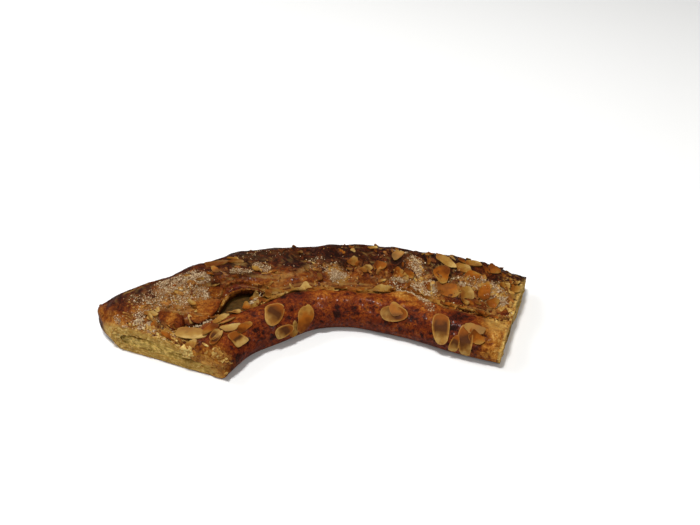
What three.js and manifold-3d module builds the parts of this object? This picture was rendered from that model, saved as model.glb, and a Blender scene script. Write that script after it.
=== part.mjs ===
// A curved piece cut from a ring of folded Danish pastry: laminated dough wrapped
// round a strip of almond filling, with flaked almonds baked on the top.
// Lengths are in millimetres, X runs along the strip, Z is up, and the strip rests
// on its flat underside. The origin is the middle of that underside.
import * as THREE from 'three';
import { mergeVertices } from 'three/addons/utils/BufferGeometryUtils.js';
import Module from 'manifold-3d';

// Plan view: the outer, far edge and the inner, near edge from the left end to the right end
const backEdge = [
  [-151.8, -6.5], [-160.5, 20], [-112.5, 47], [-57.7, 70.3], [-4.9, 70.6],
  [42, 65.6], [87.3, 50.7], [133, 30.5], [164.7, 8.3],
];
const frontEdge = [
  [-69.5, -55.7], [-50.4, -35.8], [-27.1, -26], [-2.8, -16.6], [22.5, -18.8],
  [44.3, -29.3], [65, -41], [89, -58], [117.8, -74.2],
];
const planCentre = [1.627, -0.836];

// Heights of the front roll, the back ridge and the seam at the same nine stations, the
// ridge's distance from the far edge, and the seam's place as a share of the width
const rollHeight = [22, 23.5, 24, 24, 24, 24, 24, 23, 20];
const ridgeHeight = [22, 26, 26, 26, 26, 26, 25, 24, 19];
const seamHeight = [16, 15, 14, 14.5, 15, 15, 15.5, 15, 14];
const ridgeInset = 20;
const seamShare = [0.33, 0.35, 0.34, 0.33, 0.32, 0.32, 0.32, 0.33, 0.34];

// The near flap bulges back over the seam at one place: its station, length and width
const bulgeStation = 0.715;
const bulgeLength = 0.085;
const bulgeWidth = 8.5;

// The folded wall: its base, its flap edge at the seam, and the gap between the two flaps
const baseThickness = 6.5;
const flapEdge = 5.2;
const frontGap = 0.6;
const backGap = 0.8;

// The place where the flaps part and the filling shows: its stations, how far the far flap
// draws back from its left side to its right side, how far that flap arches up and how far
// the near flap dips
const openingStart = 0.18;
const openingEnd = 0.36;
const openingWidths = [0, 7, 11, 15.5, 19.5, 23, 23, 19, 8, 0];
const openingArch = 1.8;
const openingDip = 2.6;

// The small crack beside it
const crackStation = 0.122;
const crackLength = 0.024;
const crackWidth = 3.2;

// The far flap lifts off the filling at the left end
const liftLength = 0.16;
const liftHeight = 2.2;

// Filling: clearance to the dough round it and the height of its top
const fillingClearance = 0.4;
const fillingTop = 12.4;

// Crags of the crust, the torn edge of its outer layer and the two smooth tongues of dough
const cragHeight = 1;
const tornStep = 1.5;
const tornPlace = 0.848;
const leftTongue = { height: 2.4, station: 0.175, length: 0.045, place: 0.915, breadth: 0.035 };
const rightTongue = { height: 1.7, station: 0.875, length: 0.05, place: 0.925, breadth: 0.022 };
const stripLength = 315;
const girth = 230;

// The front roll slopes down to the cut at the left end
const endLength = 0.03;
const endDrop = 2.6;

// Almond flakes: their thickness, how far they lie above the skin and how closely they
// follow it
const flakeThickness = 1.1;
const flakeLift = 0.35;
const flakeSag = 0.75;

// Mesh steps: stations along the strip, and samples between neighbouring section points
const stationSteps = 49;
const samplesPerSpan = [1, 2, 2, 2, 1, 1, 1, 1, 1, 1, 1, 2, 2, 2, 2, 2, 3, 3, 2, 1];

const wasm = await Module();
wasm.setup();

// Uniform spline through equally spaced scalar values
function valueAt(values, t) {
  const last = values.length - 1;
  const place = last * Math.min(Math.max(t, 0), 1);
  const i = Math.min(Math.floor(place), last - 1);
  const w = place - i;
  const before = values[Math.max(i - 1, 0)];
  const start = values[i];
  const end = values[i + 1];
  const after = values[Math.min(i + 2, last)];
  const slopeIn = (end - before) / 2;
  const slopeOut = (after - start) / 2;
  const cubic = 2 * start - 2 * end + slopeIn + slopeOut;
  const square = -3 * start + 3 * end - 2 * slopeIn - slopeOut;
  return ((cubic * w + square) * w + slopeIn) * w + start;
}

function planPoint(points, s) {
  const x = valueAt(points.map((point) => point[0]), s) - planCentre[0];
  const y = valueAt(points.map((point) => point[1]), s) - planCentre[1];
  return new THREE.Vector2(x, y);
}

function bell(value, centre, half) {
  const away = (value - centre) / half;
  return Math.exp(-2 * away * away);
}

function ramp(value, start, end) {
  const t = Math.min(Math.max((value - start) / (end - start), 0), 1);
  return t * t * (3 - 2 * t);
}

// The section at a station: paired points of the outer skin and of the inside of the fold,
// as distance from the near edge and height. They run from the near flap's lip over the
// front roll, under the base, up the far side and over the ridge to the far flap's lip.
function section(s) {
  const front = planPoint(frontEdge, s);
  const across = planPoint(backEdge, s).sub(front);
  const width = across.length();
  across.normalize();
  const roll = valueAt(rollHeight, s);
  const ridge = valueAt(ridgeHeight, s);
  const seamTop = valueAt(seamHeight, s);
  const seam = valueAt(seamShare, s) * width + bulgeWidth * bell(s, bulgeStation, bulgeLength);
  const near = seam - frontGap;
  const parted = valueAt(openingWidths, (s - openingStart) / (openingEnd - openingStart));
  const opening = parted / Math.max(...openingWidths);
  const crack = crackWidth * bell(s, crackStation, crackLength);
  const far = seam + backGap + crack + parted;
  const arch = openingArch * opening;
  const dip = openingDip * opening;
  const under = seamTop - flapEdge + 1;
  const lift = liftHeight * (1 - ramp(s, 0, liftLength));
  const slope = (far + width - ridgeInset) / 2;
  const pairs = [
    [near, seamTop + 1 - dip, near - 0.6, under],
    [near - 6, roll - 2 - 0.7 * dip, near - 5, under + 0.3],
    [15, roll, 14, 11.5],
    [6, roll - 4.5, 10.5, 10.8],
    [0.8, 14, 8.5, 9.8],
    [0.5, 6.5, 8.8, 8.6],
    [6, 0, 11, 7.4],
    [16, 0, 17, baseThickness + 0.3],
    [0.35 * width, 0, 0.35 * width, baseThickness],
    [0.65 * width, 0, 0.65 * width, baseThickness],
    [width - 18, 0, width - 19, baseThickness + 0.3],
    [width - 8, 0, width - 12, 7.6],
    [width - 1.5, 5, width - 9.5, 9],
    [width - 0.3, 12, width - 9, 10.5 + lift / 2],
    [width - 3.5, 0.78 * ridge, width - 11, 12 + lift],
    [width - 11, ridge - 1, width - 15, 13.5 + lift],
    [width - ridgeInset, ridge, width - ridgeInset - 2, 14.5 + lift],
    [slope, (seamTop + ridge) / 2 + 3, (slope + 0.62 * width) / 2, 14 + lift],
    [far + 9 - 3.5 * opening, seamTop + 4.5 + arch / 2, far + 8 - 4 * opening, under + 0.8 + lift / 2 + arch],
    [far + 1.5, seamTop + 2.5 + arch, far + 2, under + 0.3 + arch],
    [far, seamTop + 0.4 + arch, far + 0.5, under + arch],
  ];
  return { front, across, width, opening, seam, far, under, lift, pairs };
}

function tongueHeight(tongue, s, u) {
  return tongue.height * bell(s, tongue.station, tongue.length) * bell(u, tongue.place, tongue.breadth);
}

// Height of the crust's crags above the smooth section, along its outward normal
function relief(s, u) {
  const along = stripLength * s;
  const round = girth * u;
  const broad = Math.sin(along / 7.1 + round / 5.3 + 1.3) * Math.sin(along / 11.7 - round / 8.9 + 0.4);
  const close = Math.sin(along / 4.6 - round / 9.7 + 2.2) * Math.sin(round / 4.1 + along / 13 + 0.7);
  const onRoll = ramp(u, 0.015, 0.06) * (1 - ramp(u, 0.22, 0.26));
  const onRidge = ramp(u, 0.6, 0.66) * (1 - ramp(u, 0.95, 0.985));
  const crags = cragHeight * (0.8 * broad + 0.8 * close) * (0.6 * onRoll + onRidge);
  const edge = tornPlace + 0.012 * Math.sin(along / 17 + 0.8) + 0.006 * Math.sin(along / 6.3);
  const outerLayer = 0.35 - ramp(u, edge - 0.006, edge + 0.008);
  const layer = tornStep * outerLayer * ramp(u, 0.72, 0.8) * (1 - ramp(u, 0.95, 0.985));
  const tongues = tongueHeight(leftTongue, s, u) + tongueHeight(rightTongue, s, u);
  const end = endDrop * (1 - ramp(s, 0, endLength)) * onRoll;
  return crags + layer * ramp(s, 0.02, 0.12) + tongues - end;
}

// A point of the fold: s along the strip, u round the section, depth 0 on the outer skin
// and 1 on the inside
function sectionPoint(shape, u, depth, column) {
  const outer = valueAt(shape.pairs.map((pair) => pair[column]), u);
  const inner = valueAt(shape.pairs.map((pair) => pair[column + 2]), u);
  return outer + (inner - outer) * depth;
}

function foldPoint(shape, s, u, depth) {
  const step = 0.002;
  const ahead = Math.min(u + step, 1);
  const behind = Math.max(u - step, 0);
  let q = sectionPoint(shape, u, depth, 0);
  let z = sectionPoint(shape, u, depth, 1);
  const runQ = sectionPoint(shape, ahead, 0, 0) - sectionPoint(shape, behind, 0, 0);
  const runZ = sectionPoint(shape, ahead, 0, 1) - sectionPoint(shape, behind, 0, 1);
  const run = Math.hypot(runQ, runZ);
  const lifted = relief(s, u) * (1 - depth);
  q += (runZ / run) * lifted;
  z -= (runQ / run) * lifted;
  return new THREE.Vector3(shape.front.x + shape.across.x * q, shape.front.y + shape.across.y * q, Math.max(z, 0));
}

// A closed body from equal rings of points, one ring a station
function loft(rings, capTriangles) {
  const count = rings[0].length;
  const positions = rings.flat().flatMap((point) => [point.x, point.y, point.z]);
  const indices = [];
  for (let i = 0; i < rings.length - 1; i += 1) {
    for (let j = 0; j < count; j += 1) {
      const a = i * count + j;
      const b = i * count + ((j + 1) % count);
      indices.push(a, b, a + count, b, b + count, a + count);
    }
  }
  const lastRing = (rings.length - 1) * count;
  for (const [a, b, c] of capTriangles) {
    indices.push(a, c, b, lastRing + a, lastRing + b, lastRing + c);
  }
  const geometry = new THREE.BufferGeometry();
  geometry.setAttribute('position', new THREE.Float32BufferAttribute(positions, 3));
  geometry.setIndex(indices);
  return geometry;
}

function solidFrom(geometry) {
  const bare = new THREE.BufferGeometry();
  bare.setAttribute('position', geometry.getAttribute('position').clone());
  bare.setIndex(geometry.getIndex());
  const welded = mergeVertices(bare, 1e-4);
  const vertProperties = new Float32Array(welded.getAttribute('position').array);
  const triVerts = new Uint32Array(welded.getIndex().array);
  const solid = new wasm.Manifold(new wasm.Mesh({ numProp: 3, vertProperties, triVerts }));
  if (solid.volume() < 0) {
    throw new Error('a body is inside out');
  }
  return solid;
}

function geometryFrom(solid) {
  const mesh = solid.getMesh();
  const geometry = new THREE.BufferGeometry();
  geometry.setAttribute('position', new THREE.Float32BufferAttribute(mesh.vertProperties, 3));
  geometry.setIndex(Array.from(mesh.triVerts));
  geometry.computeVertexNormals();
  return geometry;
}

function largestBody(solid) {
  const bodies = solid.decompose();
  return bodies.reduce((best, body) => (body.volume() > best.volume() ? body : best));
}

// The dough: the outer skin one way round and the inside of the fold the other way back
function doughGeometry() {
  const samples = [];
  const spans = samplesPerSpan.length;
  samplesPerSpan.forEach((count, span) => {
    for (let k = 0; k < count; k += 1) {
      samples.push((span + k / count) / spans);
    }
  });
  samples.push(1);
  const rings = [];
  for (let i = 0; i <= stationSteps; i += 1) {
    const s = i / stationSteps;
    const shape = section(s);
    const outer = samples.map((u) => foldPoint(shape, s, u, 0));
    const inner = samples.map((u) => foldPoint(shape, s, u, 1)).reverse();
    rings.push([...outer, ...inner]);
  }
  const cap = [];
  const last = 2 * samples.length - 1;
  for (let j = 0; j < samples.length - 1; j += 1) {
    cap.push([j, j + 1, last - j], [j + 1, last - j - 1, last - j]);
  }
  return loft(rings, cap);
}

// The filling lies in the fold, clear of it all round and a little below its ceiling
function fillingOutline(shape) {
  const { width, opening, seam, far, under } = shape;
  const gap = fillingClearance;
  const floor = baseThickness + gap;
  const top = Math.min(fillingTop, 14 + shape.lift - gap);
  return [
    [17, floor + 0.4], [0.35 * width, floor + 0.1], [0.65 * width, floor + 0.1],
    [width - 20, floor + 0.4], [width - 13.2, 8.6], [width - 11.5, 9.6],
    [width - 14, 10.8], [width - 19, top - 0.5], [width - 27, top],
    [0.6 * width + 8 * opening, top - 0.1], [far + 14 - 6 * opening, (top + under) / 2 - gap],
    [far + 4, under - 0.2 - gap + 0.8 * opening], [seam - 4, under - 0.2 - gap],
    [15, 10.4], [11.5, 9.6], [12, 8.3],
  ];
}

function fillingGeometry() {
  const rings = [];
  for (let i = 0; i <= stationSteps; i += 1) {
    const s = i / stationSteps;
    const shape = section(s);
    rings.push(fillingOutline(shape).map(([q, z], place) => {
      const swell = place > 7 && place < 12 ? 0.5 * Math.sin(stripLength * s / 5.2 + place) - 0.5 : 0;
      return new THREE.Vector3(shape.front.x + shape.across.x * q, shape.front.y + shape.across.y * q, z + swell);
    }));
  }
  const contour = fillingOutline(section(0)).map(([q, z]) => new THREE.Vector2(q, z));
  return loft(rings, THREE.ShapeUtils.triangulateShape(contour, []));
}

// The flakes: station, place round the section, turn, length, width, tilt and, for one that
// bridges the seam, how closely it follows the skin
const flakes = [
  [0.81, 0.8, -30, 18, 7, 4], [0.85, 0.81, -20, 13, 8.5, 4], [0.87, 0.785, 0, 12, 6.5, 5],
  [0.915, 0.77, -5, 10, 8, 8], [0.805, 0.84, -80, 20, 11, 6], [0.875, 0.825, 25, 13.5, 8, 10],
  [0.83, 0.875, 10, 19, 12, 6], [0.87, 0.87, 15, 12, 9.5, 8], [0.91, 0.855, 85, 15.5, 8.5, 8],
  [0.935, 0.88, -5, 9, 7, 14], [0.95, 0.825, 25, 8, 6, 8], [0.985, 0.82, 0, 8, 7, 6],
  [0.83, 0.165, -80, 20.5, 12, 2], [0.875, 0.205, 80, 13.5, 6, 3], [0.9, 0.19, -80, 19, 9.5, 2],
  [0.915, 0.12, 5, 14, 7, 8], [0.925, 0.15, -25, 12, 8, 10], [0.835, 0.975, -10, 12.5, 5, 10],
  [0.81, 0.965, 30, 9, 6, 14], [0.59, 0.83, 45, 9, 6, 10], [0.655, 0.84, -20, 10, 9, 6],
  [0.62, 0.845, 25, 10.5, 5, 8], [0.705, 0.805, 50, 13, 6, 8], [0.705, 0.865, -20, 9, 8, 8],
  [0.73, 0.855, -15, 9, 8, 8], [0.645, 0.965, 65, 12, 10, 12], [0.665, 0.985, 60, 12, 5, 20],
  [0.46, 0.97, 15, 16, 7, 8], [0.41, 0.985, 70, 8, 5, 10], [0.54, 0.985, -20, 12, 7, 8],
  [0.59, 0.985, 30, 13, 6, 8], [0.425, 0.95, 80, 13, 10.5, 8], [0.35, 0.97, 5, 17, 6, 8],
  [0.68, 0.13, 15, 10.5, 10, 4], [0.67, 0.15, 15, 20.5, 11, 1], [0.315, 0.765, -30, 16, 8, 4],
  [0.34, 0.81, -20, 11, 4.5, 4], [0.335, 0.02, -20, 14, 7, 6], [0.26, 0.115, 40, 23, 11, 3],
  [0.245, 0.2, 10, 14, 8, 2], [0.285, 0.215, 70, 12.5, 5.5, 3], [0.335, 0.185, 50, 22, 10, 1],
  [0.21, 0.05, 0, 9, 6, 6], [0.16, 0.07, -5, 13, 5.5, 10], [0.12, 0.095, -30, 11, 7, 6],
  [0.14, 0.11, -5, 12, 5.5, 10], [0.1, 0.075, -40, 12, 6, 8], [0.1, 0.14, 85, 11.5, 10, 5],
  [0.105, 0.845, -70, 12, 5, 25], [0.06, 0.85, -20, 10, 4.5, 20], [0.035, 0.88, 35, 10.5, 9.5, 8],
  [0.195, 0.865, 70, 7, 5, 4], [0.085, 0.945, -68, 26, 12, 3, 0.15],
];

// The outer skin at a place, with its directions along the strip, round the section and
// outward, and how many millimetres one unit of each measures there
function skinFrame(s, u) {
  const step = 0.004;
  const shape = section(s);
  const middle = foldPoint(shape, s, u, 0);
  const along = foldPoint(section(s + step), s + step, u, 0)
    .sub(foldPoint(section(s - step), s - step, u, 0)).divideScalar(2 * step);
  const ahead = Math.min(u + step, 1);
  const behind = Math.max(u - step, 0);
  const round = foldPoint(shape, s, ahead, 0)
    .sub(foldPoint(shape, s, behind, 0)).divideScalar(ahead - behind);
  const normal = new THREE.Vector3().crossVectors(round, along).normalize();
  return { middle, along, round, normal };
}

// A flake: a thin, pointed oval that sags part of the way onto the skin under it. Its
// points are a rim of eight with a middle point, below and above.
function flakeGeometry([station, place, turning, longest, widest, tilt, sag = flakeSag]) {
  const frame = skinFrame(station, place);
  const along = frame.along.clone().normalize();
  const side = new THREE.Vector3().crossVectors(frame.normal, along);
  const turn = THREE.MathUtils.degToRad(turning);
  const slant = Math.tan(THREE.MathUtils.degToRad(tilt));
  const corners = 8;
  const outline = [[0, 0]];
  for (let k = 0; k < corners; k += 1) {
    const angle = (2 * Math.PI * (k + 0.5)) / corners;
    const taper = 1 - 0.22 * Math.cos(angle);
    outline.push([0.53 * longest * Math.cos(angle), 0.53 * widest * Math.sin(angle) * taper]);
  }
  const positions = [];
  for (const level of [-0.5, 0.5]) {
    for (const [length, breadth] of outline) {
      const x = length * Math.cos(turn) - breadth * Math.sin(turn);
      const y = length * Math.sin(turn) + breadth * Math.cos(turn);
      const s = station + x / frame.along.length();
      const u = place - y / frame.round.length();
      const flat = frame.middle.clone().addScaledVector(along, x).addScaledVector(side, y);
      const held = Math.min(Math.max(u, 0), 1);
      const skin = foldPoint(section(s), s, held, 0);
      const height = level * flakeThickness + flakeLift + slant * breadth;
      const point = flat.lerp(skin, sag).addScaledVector(frame.normal, height);
      positions.push(point.x, point.y, point.z);
    }
  }
  const indices = [];
  const top = corners + 1;
  for (let k = 1; k <= corners; k += 1) {
    const next = (k % corners) + 1;
    indices.push(0, next, k, top, top + k, top + next, k, next, top + next, k, top + next, top + k);
  }
  const geometry = new THREE.BufferGeometry();
  geometry.setAttribute('position', new THREE.Float32BufferAttribute(positions, 3));
  geometry.setIndex(indices);
  return geometry;
}

let dough = solidFrom(doughGeometry());
for (const flake of flakes) {
  dough = dough.add(solidFrom(flakeGeometry(flake)));
}
dough = largestBody(dough);
const filling = solidFrom(fillingGeometry());

const crustMaterial = new THREE.MeshStandardMaterial({ color: 0x9a5a24, roughness: 0.55, metalness: 0 });
crustMaterial.name = 'baked_crust';
const fillingMaterial = new THREE.MeshStandardMaterial({ color: 0x8d7338, roughness: 0.6, metalness: 0 });
fillingMaterial.name = 'almond_filling';

const doughMesh = new THREE.Mesh(geometryFrom(dough), crustMaterial);
doughMesh.name = 'pastry_dough';
const fillingMesh = new THREE.Mesh(geometryFrom(filling), fillingMaterial);
fillingMesh.name = 'filling';

const pastry = new THREE.Group();
pastry.name = 'danish_pastry_strip';
pastry.add(doughMesh, fillingMesh);
export default pastry;
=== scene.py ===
"""A curved strip of folded Danish pastry with almond filling, flaked almonds and sugar.

Lengths in the classes are millimetres in the strip's own frame and become metres when a
mesh is made. The strip's surface is described by three numbers: s runs along the strip
from its left end to its right end, u runs round the folded section from the near flap's
lip over the front roll, under the base and over the back ridge to the far flap's lip,
and w goes from the outer skin at 0 to the inside of the fold at 1.
"""

import logging
import math
from dataclasses import dataclass
from enum import Enum
from typing import Callable, Optional

import bpy
import numpy as np
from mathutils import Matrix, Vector


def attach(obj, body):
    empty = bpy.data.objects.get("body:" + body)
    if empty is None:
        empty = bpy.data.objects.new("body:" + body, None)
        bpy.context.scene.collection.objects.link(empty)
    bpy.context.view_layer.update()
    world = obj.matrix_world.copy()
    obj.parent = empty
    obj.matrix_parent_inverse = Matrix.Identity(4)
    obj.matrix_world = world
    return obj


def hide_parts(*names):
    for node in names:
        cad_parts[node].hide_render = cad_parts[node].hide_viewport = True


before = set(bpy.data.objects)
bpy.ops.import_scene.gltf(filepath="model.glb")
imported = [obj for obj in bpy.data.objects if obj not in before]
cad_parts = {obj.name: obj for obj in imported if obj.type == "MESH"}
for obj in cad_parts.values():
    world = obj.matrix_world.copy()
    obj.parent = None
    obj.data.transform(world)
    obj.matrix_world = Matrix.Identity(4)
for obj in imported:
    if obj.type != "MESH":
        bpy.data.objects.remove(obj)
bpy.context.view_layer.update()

LOG = logging.getLogger("pastry")
MM = 0.001
FULL_TURN = 6.28
Array = np.ndarray
Socket = bpy.types.NodeSocket
Material = bpy.types.Material
Piece = bpy.types.Object


# Draws, noise and small shaping functions


class Draws:
    """Repeatable draws between 0 and 1, the same on every run."""

    def __init__(self, seed: int) -> None:
        """Start the draws.

        Args:
            seed: the first state.
        """
        self.state = seed

    def next(self) -> float:
        """Return the next draw between 0 and 1."""
        self.state = (self.state * 1664525 + 1013904223) % 4294967296
        return self.state / 4294967296

    def between(self, low: float, high: float) -> float:
        """Return the next draw between low and high."""
        return low + (high - low) * self.next()

    def many(self, count: int) -> Array:
        """Return an array of the next draws."""
        return np.array([self.next() for _ in range(count)])


def ramp(value: Array, start: float, end: float) -> Array:
    """Return a smooth step from 0 at start to 1 at end."""
    t = np.clip((value - start) / (end - start), 0.0, 1.0)
    return t * t * (3.0 - 2.0 * t)


def window(value: Array, rise: float, risen: float, fall: float, fallen: float) -> Array:
    """Return 1 between two soft edges and 0 outside them."""
    return ramp(value, rise, risen) * (1.0 - ramp(value, fall, fallen))


def bell(value: Array, centre: float, half: float) -> Array:
    """Return a soft bump of height 1 round centre."""
    away = (value - centre) / half
    return np.exp(-2.0 * away * away)


def spline(values: Array, t: Array) -> Array:
    """Run a uniform spline through equally spaced values.

    Args:
        values: control values, either one row for all places or one row for each place.
        t: places between 0 and 1.

    Returns:
        The value at each place.
    """
    last = values.shape[-1] - 1
    place = last * np.clip(t, 0.0, 1.0)
    i = np.minimum(np.floor(place).astype(int), last - 1)
    w = place - i

    def pick(index: Array) -> Array:
        """Return the control value at an index of each place."""
        if values.ndim == 1:
            return values[index]
        return np.take_along_axis(values, index[:, None], axis=1)[:, 0]

    before = pick(np.maximum(i - 1, 0))
    start = pick(i)
    end = pick(i + 1)
    after = pick(np.minimum(i + 2, last))
    slope_in = (end - before) / 2.0
    slope_out = (after - start) / 2.0
    cubic = 2.0 * start - 2.0 * end + slope_in + slope_out
    square = -3.0 * start + 3.0 * end - 2.0 * slope_in - slope_out
    return ((cubic * w + square) * w + slope_in) * w + start


def lattice_noise(points: Array, size: float, salt: int) -> Array:
    """Return smooth noise between -1 and 1.

    Args:
        points: places, one row of three millimetre values each.
        size: distance between the noise's grid points in millimetres.
        salt: number that tells one noise from another.

    Returns:
        One value a place.
    """
    scaled = points.T / size + 1000.0
    base = np.floor(scaled)
    part = scaled - base
    part = part * part * (3.0 - 2.0 * part)
    cells = base.astype(np.int64)
    primes = (73856093, 19349663, 83492791)
    mixes = [(cells[axis] * prime, (cells[axis] + 1) * prime) for axis, prime in enumerate(primes)]
    shares = [(1.0 - part[axis], part[axis]) for axis in range(3)]
    total = np.zeros(len(points))
    for corner in range(8):
        i, j, k = corner & 1, (corner >> 1) & 1, (corner >> 2) & 1
        mixed = mixes[0][i] ^ mixes[1][j] ^ mixes[2][k] ^ salt * 2654435761
        mixed = (mixed ^ (mixed >> 13)) * 1274126177 & 0x7FFFFFFF
        mixed = (mixed ^ (mixed >> 16)) & 0xFFFF
        total += shares[0][i] * shares[1][j] * shares[2][k] * (mixed / 32767.5 - 1.0)
    return total


def layered_noise(points: Array, size: float, salt: int, octaves: int = 3) -> Array:
    """Return noise of several sizes added up, between about -1 and 1."""
    total = np.zeros(len(points))
    weight = 0.0
    for octave in range(octaves):
        share = 0.55**octave
        total += share * lattice_noise(points, size / 2.0**octave, salt + 17 * octave)
        weight += share
    return total / weight


# The form of the fold, from the same named sizes as the solids


@dataclass
class FoldForm:
    """The folded strip: its plan, its section along the strip and its crags."""

    back_edge: tuple[tuple[float, float], ...] = (
        (-151.8, -6.5), (-160.5, 20.0), (-112.5, 47.0), (-57.7, 70.3), (-4.9, 70.6),
        (42.0, 65.6), (87.3, 50.7), (133.0, 30.5), (164.7, 8.3),
    )
    front_edge: tuple[tuple[float, float], ...] = (
        (-69.5, -55.7), (-50.4, -35.8), (-27.1, -26.0), (-2.8, -16.6), (22.5, -18.8),
        (44.3, -29.3), (65.0, -41.0), (89.0, -58.0), (117.8, -74.2),
    )
    plan_centre: tuple[float, float] = (1.627, -0.836)
    roll_height: tuple[float, ...] = (22, 23.5, 24, 24, 24, 24, 24, 23, 20)
    ridge_height: tuple[float, ...] = (22, 26, 26, 26, 26, 26, 25, 24, 19)
    seam_height: tuple[float, ...] = (16, 15, 14, 14.5, 15, 15, 15.5, 15, 14)
    seam_share: tuple[float, ...] = (0.33, 0.35, 0.34, 0.33, 0.32, 0.32, 0.32, 0.33, 0.34)
    bulge_station: float = 0.715
    bulge_length: float = 0.085
    bulge_width: float = 8.5
    base_thickness: float = 6.5
    flap_edge: float = 5.2
    front_gap: float = 0.2
    back_gap: float = 0.25
    opening_start: float = 0.18
    opening_end: float = 0.36
    opening_widths: tuple[float, ...] = (0, 7, 11, 15.5, 19.5, 23, 23, 19, 8, 0)
    opening_arch: float = 1.8
    opening_dip: float = 2.6
    crack_station: float = 0.122
    crack_width: float = 3.2
    lift_length: float = 0.16
    lift_height: float = 2.2
    end_length: float = 0.03
    end_drop: float = 2.6
    filling_clearance: float = 0.4
    filling_top: float = 12.4
    crag_height: float = 1.0
    torn_step: float = 1.5
    strip_length: float = 315.0
    girth: float = 230.0

    def opening(self, s: Array) -> Array:
        """Return how far the seam is open at each station in millimetres."""
        share = (s - self.opening_start) / (self.opening_end - self.opening_start)
        return spline(np.array(self.opening_widths, float), share)

    def section(self, s: Array) -> dict[str, Array]:
        """Work out the section at each station.

        Args:
            s: stations between 0 and 1.

        Returns:
            The near edge, the direction across, the width, the seam's place and height
            values, and the paired control points of the outer skin and the inside.
        """
        back = np.array(self.back_edge)
        front = np.array(self.front_edge)
        centre = np.array(self.plan_centre)
        near_edge = np.stack([spline(front[:, k], s) - centre[k] for k in (0, 1)], axis=1)
        far_edge = np.stack([spline(back[:, k], s) - centre[k] for k in (0, 1)], axis=1)
        across = far_edge - near_edge
        width = np.linalg.norm(across, axis=1)
        across = across / width[:, None]
        roll = spline(np.array(self.roll_height, float), s)
        ridge = spline(np.array(self.ridge_height, float), s)
        seam_top = spline(np.array(self.seam_height, float), s)
        seam = spline(np.array(self.seam_share, float), s) * width
        seam = seam + self.bulge_width * bell(s, self.bulge_station, self.bulge_length)
        parted = self.opening(s)
        opening = parted / max(self.opening_widths)
        crack = self.crack_width * bell(s, self.crack_station, 0.024)
        near = seam - self.front_gap
        far = seam + self.back_gap + crack + parted
        arch = self.opening_arch * opening
        dip = self.opening_dip * opening
        under = seam_top - self.flap_edge + 1.0
        lift = self.lift_height * (1.0 - ramp(s, 0.0, self.lift_length))
        slope = (far + width - 20.0) / 2.0
        base = self.base_thickness
        nought = np.zeros_like(width)
        rows = [
            (near, seam_top + 1 - dip, near - 0.6, under),
            (near - 6, roll - 2 - 0.7 * dip, near - 5, under + 0.3),
            (nought + 15, roll, nought + 14, nought + 11.5),
            (nought + 6, roll - 4.5, nought + 10.5, nought + 10.8),
            (nought + 0.8, nought + 14, nought + 8.5, nought + 9.8),
            (nought + 0.5, nought + 6.5, nought + 8.8, nought + 8.6),
            (nought + 6, nought, nought + 11, nought + 7.4),
            (nought + 16, nought, nought + 17, nought + base + 0.3),
            (0.35 * width, nought, 0.35 * width, nought + base),
            (0.65 * width, nought, 0.65 * width, nought + base),
            (width - 18, nought, width - 19, nought + base + 0.3),
            (width - 8, nought, width - 12, nought + 7.6),
            (width - 1.5, nought + 5, width - 9.5, nought + 9),
            (width - 0.3, nought + 12, width - 9, 10.5 + lift / 2),
            (width - 3.5, 0.78 * ridge, width - 11, 12 + lift),
            (width - 11, ridge - 1, width - 15, 13.5 + lift),
            (width - 20, ridge, width - 22, 14.5 + lift),
            (slope, (seam_top + ridge) / 2 + 3, (slope + 0.62 * width) / 2, 14 + lift),
            (far + 9 - 3.5 * opening, seam_top + 4.5 + arch / 2,
             far + 8 - 4 * opening, under + 0.8 + lift / 2 + arch),
            (far + 1.5, seam_top + 2.5 + arch, far + 2, under + 0.3 + arch),
            (far, seam_top + 0.4 + arch, far + 0.5, under + arch),
        ]
        pairs = np.stack([np.stack(row, axis=1) for row in rows], axis=1)
        return {
            "near_edge": near_edge,
            "across": across,
            "width": width,
            "opening": opening,
            "seam": seam,
            "far": far,
            "under": under,
            "lift": lift,
            "pairs": pairs,
        }

    def torn_line(self, s: Array) -> Array:
        """Return where the torn edge of the crust's outer layer runs, as u."""
        along = self.strip_length * s
        return 0.848 + 0.012 * np.sin(along / 17.0 + 0.8) + 0.006 * np.sin(along / 6.3)

    def relief(self, s: Array, u: Array, jag: Optional[Array] = None) -> Array:
        """Return the height of the crags above the smooth section in millimetres.

        Args:
            s: stations.
            u: places round the section.
            jag: shift of the torn line as u, which makes the tear crisp; None gives the
                solid's own softer edge.

        Returns:
            The height along the outward normal.
        """
        along = self.strip_length * s
        around = self.girth * u
        broad = np.sin(along / 7.1 + around / 5.3 + 1.3) * np.sin(along / 11.7 - around / 8.9 + 0.4)
        close = np.sin(along / 4.6 - around / 9.7 + 2.2) * np.sin(around / 4.1 + along / 13.0 + 0.7)
        on_roll = window(u, 0.015, 0.06, 0.22, 0.26)
        on_ridge = window(u, 0.6, 0.66, 0.95, 0.985)
        crags = self.crag_height * (0.8 * broad + 0.8 * close) * (0.6 * on_roll + on_ridge)
        edge = self.torn_line(s)
        if jag is None:
            outer_layer = 0.35 - ramp(u - edge, -0.006, 0.008)
        else:
            outer_layer = 0.35 - ramp(u - edge - jag, -0.0015, 0.003)
        fade = window(u, 0.72, 0.8, 0.95, 0.985) * ramp(s, 0.02, 0.12)
        layer = self.torn_step * outer_layer * fade
        left_tongue = 2.4 * bell(s, 0.175, 0.045) * bell(u, 0.915, 0.035)
        right_tongue = 1.7 * bell(s, 0.875, 0.05) * bell(u, 0.925, 0.022)
        end = self.end_drop * (1.0 - ramp(s, 0.0, self.end_length)) * on_roll
        return crags + layer + left_tongue + right_tongue - end

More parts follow.
